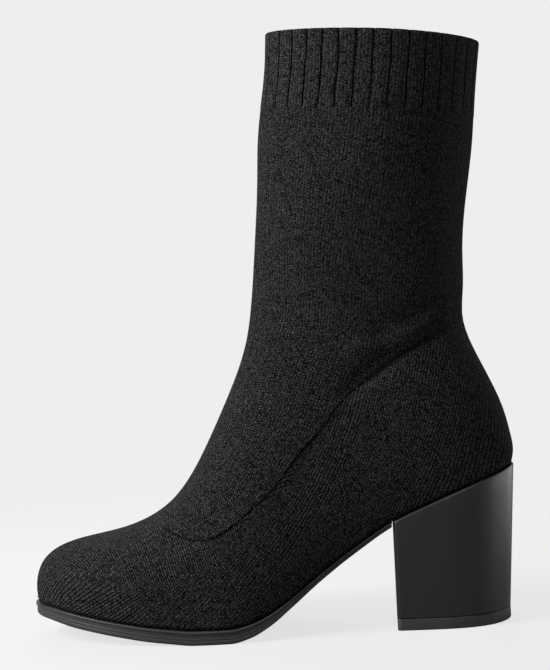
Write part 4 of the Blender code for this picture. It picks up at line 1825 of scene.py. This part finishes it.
@dataclass
class BlockHeel:
    """Block heel with a round back, tapering down from the sloping seat to the top piece."""

    last: Last
    lacquer: HeelLacquer = field(default_factory=HeelLacquer)
    rubber: TopPieceRubber = field(default_factory=TopPieceRubber)
    back_taper: float = 0.0045
    side_taper: float = 0.0014
    corner: float = 0.0022
    bevel: float = 0.0005
    seat_bevel: float = 0.0010
    top_piece: float = 0.0055
    stations: int = 49
    corner_steps: int = 7
    side_steps: int = 8
    seat_steps: int = 5

    def edges(self, up: float, inset: float) -> Array:
        """Outer and inner edge of the heel's D at a share of its height.

        The breast's two corners are quarter circles, taken off the sole's outline.

        Args:
            up: share of the height, 0 at the top piece and 1 at the seat.
            inset: how far the edge is drawn in.

        Returns:
            Points (x, y) as (edge, station, coordinate).
        """
        last = self.last
        bend = np.linspace(0, pi / 2, self.corner_steps)
        corner = self.corner * (1 - np.cos(bend))
        after = 1 - (last.heel_length - self.corner) / last.length
        turn = np.linspace(np.arccos(1 - 2 * after), pi, self.stations)[1:]
        along = np.concatenate([1 - (last.heel_length - corner) / last.length, (1 - np.cos(turn)) / 2])
        cut = np.zeros(len(along))
        cut[: len(corner)] = self.corner * (1 - np.sin(bend))
        breast = last.length / 2 - last.heel_length
        edges = last.outline(along, 0)
        edges[..., 0] = breast + (edges[..., 0] - breast) * (
            1 - ((1 - up) * self.back_taper + inset) / last.heel_length
        )
        edges[..., 1] *= 1 - 2 * ((1 - up) * self.side_taper + inset) / last.heel_width
        edges[..., 1] -= np.array([[Side.OUTER.value], [Side.INNER.value]]) * cut
        return edges

    def layer(self, up: float, inset: float, height: Array | float) -> Array:
        """Edges of the D with their height.

        Args:
            up: share of the height, 0 at the top piece and 1 at the seat.
            inset: how far the edge is drawn in.
            height: one height, or one for each point.

        Returns:
            Points as (edge, station, coordinate).
        """
        edges = self.edges(up, inset)
        heights = np.broadcast_to(height, edges.shape[:2])
        return np.concatenate([edges, heights[..., None]], axis=-1)

    def build(self) -> bpy.types.Object:
        """Makes the block as layers from the top piece to the seat, with a small bevel at both ends.

        The lower bevel is flat, and the one round the seat is a quarter circle.

        Returns:
            The new object.
        """
        floor = self.top_piece + self.last.gap
        small = self.bevel / 2
        layers = [self.layer(0, small, floor), self.layer(0, 0, floor + small)]
        seat = self.last.foot(self.edges(1, 0)[..., 0])
        for up in np.linspace(0, 1, self.side_steps + 1)[1:]:
            height = floor + up * (seat - self.seat_bevel - floor)
            layers.append(self.layer(up, 0, height))
        for turn in np.linspace(0, pi / 2, self.seat_steps + 1)[1:]:
            inset = self.seat_bevel * (1 - np.cos(turn))
            top = self.last.foot(self.edges(1, inset)[..., 0])
            layers.append(self.layer(1, inset, top - self.seat_bevel * (1 - np.sin(turn))))
        return put_stack("block_heel", np.stack(layers))

    def build_top_piece(self) -> bpy.types.Object:
        """Makes the plate under the block, with flat bevels and a rounder lower edge.

        Returns:
            The new object.
        """
        small = self.bevel / 2
        layers = [
            self.layer(0, small, 0.0),
            self.layer(0, small / 4, small / 2),
            self.layer(0, 0, small * 1.5),
            self.layer(0, 0, self.top_piece - small),
            self.layer(0, small, self.top_piece),
        ]
        return put_stack("heel_top_piece", np.stack(layers))

    def dress(self, block: bpy.types.Object, plate: bpy.types.Object) -> None:
        """Gives the block its lacquer and the plate its rubber."""
        block.data.materials.append(self.lacquer.material())
        plate.data.materials.append(self.rubber.material())


@dataclass
class Insole:
    """Insole: a cloth covered plate on the foot line, inside the upper from toe to heel."""

    last: Last
    cloth: InsoleCloth = field(default_factory=InsoleCloth)
    clearance: float = 0.0009
    thickness: float = 0.0025
    stations: int = 121
    edge_steps: int = 5

    def build(self) -> bpy.types.Object:
        """Makes the plate as layers, with its upper edge rounded as a quarter circle.

        Returns:
            The new object.
        """
        inset = self.last.feather_inset + self.last.knit_wall + self.clearance
        along = (1 - np.cos(np.linspace(0, pi, self.stations))) / 2
        radius = self.thickness / 2
        layers = []
        for turn in np.concatenate([[-pi / 2], np.linspace(0, pi / 2, self.edge_steps)]):
            inward = radius * (1 - np.cos(turn)) if turn > 0 else 0
            edges = self.last.outline(along, inset + inward)
            rise = self.last.gap + (0 if turn < 0 else radius * (1 + np.sin(turn)))
            heights = self.last.foot(edges[..., 0]) + rise
            layers.append(np.concatenate([edges, heights[..., None]], axis=-1))
        return put_stack("cloth_insole", np.stack(layers))

    def dress(self, piece: bpy.types.Object) -> None:
        """Gives the plate its cloth."""
        piece.data.materials.append(self.cloth.material())


@dataclass(frozen=True)
class Softbox:
    """Area light that faces the boot.

    Attributes:
        name: name of the light.
        place: its middle.
        size: width and height of its face.
        power: watts.
        gloss_only: whether it shows in gloss alone, as a far bright wall does.
    """

    name: str
    place: tuple[float, float, float]
    size: tuple[float, float]
    power: float
    gloss_only: bool = False

    def hang(self, aim: Vector) -> None:
        """Hangs the light so that its face looks at a point.

        Args:
            aim: the point.
        """
        data = bpy.data.lights.new(self.name, "AREA")
        data.shape = "RECTANGLE"
        data.size, data.size_y = self.size
        data.energy = self.power
        light = bpy.data.objects.new(self.name, data)
        light.location = self.place
        light.rotation_euler = (aim - light.location).to_track_quat("-Z", "Y").to_euler()
        light.visible_diffuse = not self.gloss_only
        bpy.context.scene.collection.objects.link(light)


@dataclass
class Studio:
    """Pale floor, soft lights and the camera at the photo's angle to the boot."""

    lights: tuple[Softbox, ...] = (
        Softbox("key_light", (-0.80, -0.36, 0.66), (0.5, 0.5), 9.4),
        Softbox("inner_light", (-0.2, 0.95, 0.8), (0.9, 0.7), 5.0),
        Softbox("bright_wall", (0.80, 0.20, 0.08), (1.2, 0.9), 4.6, gloss_only=True),
        Softbox("edge_light", (0.05, -0.95, 1.05), (0.35, 0.2), 3.0, gloss_only=True),
    )
    aim: tuple[float, float, float] = (0.02, 0.0, 0.13)
    place: tuple[float, float, float] = (0.057548, -0.834754, 0.173368)
    yaw: float = radians(-3.49)
    pitch: float = radians(-2.08)
    roll: float = radians(-2.94)
    focal_pixels: float = 1702.056
    image_height: float = 670
    sensor: float = 36.0
    backdrop: str = "#eeeeee"
    room_light: float = 0.20
    floor_glow: float = 0.85
    floor_gleam: float = 0.09
    floor_colour: str = "#7c7c7c"
    floor_roughness: float = 0.9
    floor_radius: float = 1.4
    floor_steps: int = 96
    floor_rings: tuple[float, ...] = (0.0, 0.1, 0.3, 0.6, 1.0)
    floor_fade: tuple[float, float] = (0.2, 0.65)

    def camera(self) -> None:
        """Sets the camera: turned by its yaw about the upright, tipped by its pitch, then rolled."""
        data = bpy.data.cameras.new("camera")
        data.sensor_width = self.sensor
        data.lens = self.sensor * self.focal_pixels / self.image_height
        data.clip_start = 0.05
        camera = bpy.data.objects.new("camera", data)
        camera.matrix_world = (
            Matrix.Translation(self.place)
            @ Matrix.Rotation(-self.yaw, 4, "Z")
            @ Matrix.Rotation(pi / 2 + self.pitch, 4, "X")
            @ Matrix.Rotation(self.roll, 4, "Z")
        )
        bpy.context.scene.collection.objects.link(camera)
        bpy.context.scene.camera = camera

    def world(self) -> None:
        """White surroundings that light the boot far less than they look to the camera."""
        world = bpy.data.worlds.new("studio")
        world.use_nodes = True
        tree = world.node_tree
        tree.nodes.clear()
        white = linear(self.backdrop)
        seen = add_node(tree, "ShaderNodeBackground", None, {"Color": white, "Strength": 1.0})
        shone = add_node(
            tree, "ShaderNodeBackground", None, {"Color": white, "Strength": self.room_light}
        )
        path = add_node(tree, "ShaderNodeLightPath")
        mix = add_node(
            tree,
            "ShaderNodeMixShader",
            None,
            {0: path.outputs["Is Camera Ray"], 1: shone.outputs[0], 2: seen.outputs[0]},
        )
        add_node(tree, "ShaderNodeOutputWorld", None, {"Surface": mix.outputs[0]})
        bpy.context.scene.world = world

    def floor(self) -> bpy.types.Object:
        """Lays the floor as rings of a disc: it glows to the camera and fades into the backdrop.

        Returns:
            The new object.
        """
        turn = np.linspace(0, 2 * pi, self.floor_steps + 1)
        reach = np.array(self.floor_rings) * self.floor_radius
        x = reach[:, None] * np.sin(turn)
        y = reach[:, None] * np.cos(turn)
        points = np.stack([x, y, np.zeros_like(x)], axis=-1)
        number = np.arange(x.size).reshape(x.shape)
        same = number.copy()
        same[:, -1] = number[:, 0]
        same[0] = number[0, 0]
        quads = grid_quads(*x.shape)[:, ::-1]
        piece = put_mesh("studio_floor", points.reshape(-1, 3), quads, same.ravel())
        material, surface = new_material("pale_floor")
        tree = material.node_tree
        place = add_node(tree, "ShaderNodeTexCoord").outputs["Object"]
        away = add_node(tree, "ShaderNodeVectorMath", {"operation": "LENGTH"}, {0: place})
        fade = add_node(
            tree,
            "ShaderNodeMapRange",
            {"interpolation_type": "SMOOTHSTEP"},
            {
                "Value": away.outputs["Value"],
                "From Min": self.floor_fade[0],
                "From Max": self.floor_fade[1],
                "To Min": 1.0,
                "To Max": 0.0,
            },
        )
        surface.inputs["Base Color"].default_value = linear(self.floor_colour)
        surface.inputs["Roughness"].default_value = self.floor_roughness
        surface.inputs["Specular IOR Level"].default_value = 0.0
        surface.inputs["Emission Color"].default_value = linear(self.backdrop)
        path = add_node(tree, "ShaderNodeLightPath")
        gleam = add_node(
            tree,
            "ShaderNodeMath",
            {"operation": "MULTIPLY"},
            {0: path.outputs["Is Glossy Ray"], 1: self.floor_gleam},
        )
        glow = add_node(
            tree,
            "ShaderNodeMath",
            {"operation": "MULTIPLY_ADD"},
            {0: path.outputs["Is Camera Ray"], 1: self.floor_glow, 2: gleam.outputs[0]},
        )
        tree.links.new(glow.outputs[0], surface.inputs["Emission Strength"])
        tree.links.new(fade.outputs[0], surface.inputs["Alpha"])
        piece.data.materials.append(material)
        return piece

    def build(self) -> None:
        """Sets up camera, surroundings, floor and lights."""
        self.camera()
        self.world()
        self.floor()
        for light in self.lights:
            light.hang(Vector(self.aim))
        bpy.context.scene.view_settings.view_transform = "Standard"


def place_piece(piece: bpy.types.Object, node: str) -> None:
    """Lets a piece stand for its solid and ride on the boot.

    Args:
        piece: the finished object.
        node: the solid's node.
    """
    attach(piece, BODY)
    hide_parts(node)
    mesh = piece.data
    counts = (len(mesh.vertices), len(mesh.polygons))
    report.info("%s stands for %s: %d points, %d faces", piece.name, node, *counts)


def main() -> None:
    """Builds and dresses every piece and the studio, and notes the sizes."""
    last = Last()
    upper = KnitUpper(last)
    outsole = Outsole(last)
    heel = BlockHeel(last)
    insole = Insole(last)

    knit = upper.build()
    upper.dress(knit)
    place_piece(knit, "upper")

    sole = outsole.build()
    outsole.dress(sole)
    place_piece(sole, "outsole")

    block = heel.build()
    plate = heel.build_top_piece()
    heel.dress(block, plate)
    place_piece(block, "heel")
    place_piece(plate, "top_piece")

    sock = insole.build()
    insole.dress(sock)
    place_piece(sock, "insole")

    Studio().build()


if __name__ == "__main__":
    logging.basicConfig(level=logging.INFO, format="%(message)s")
    main()
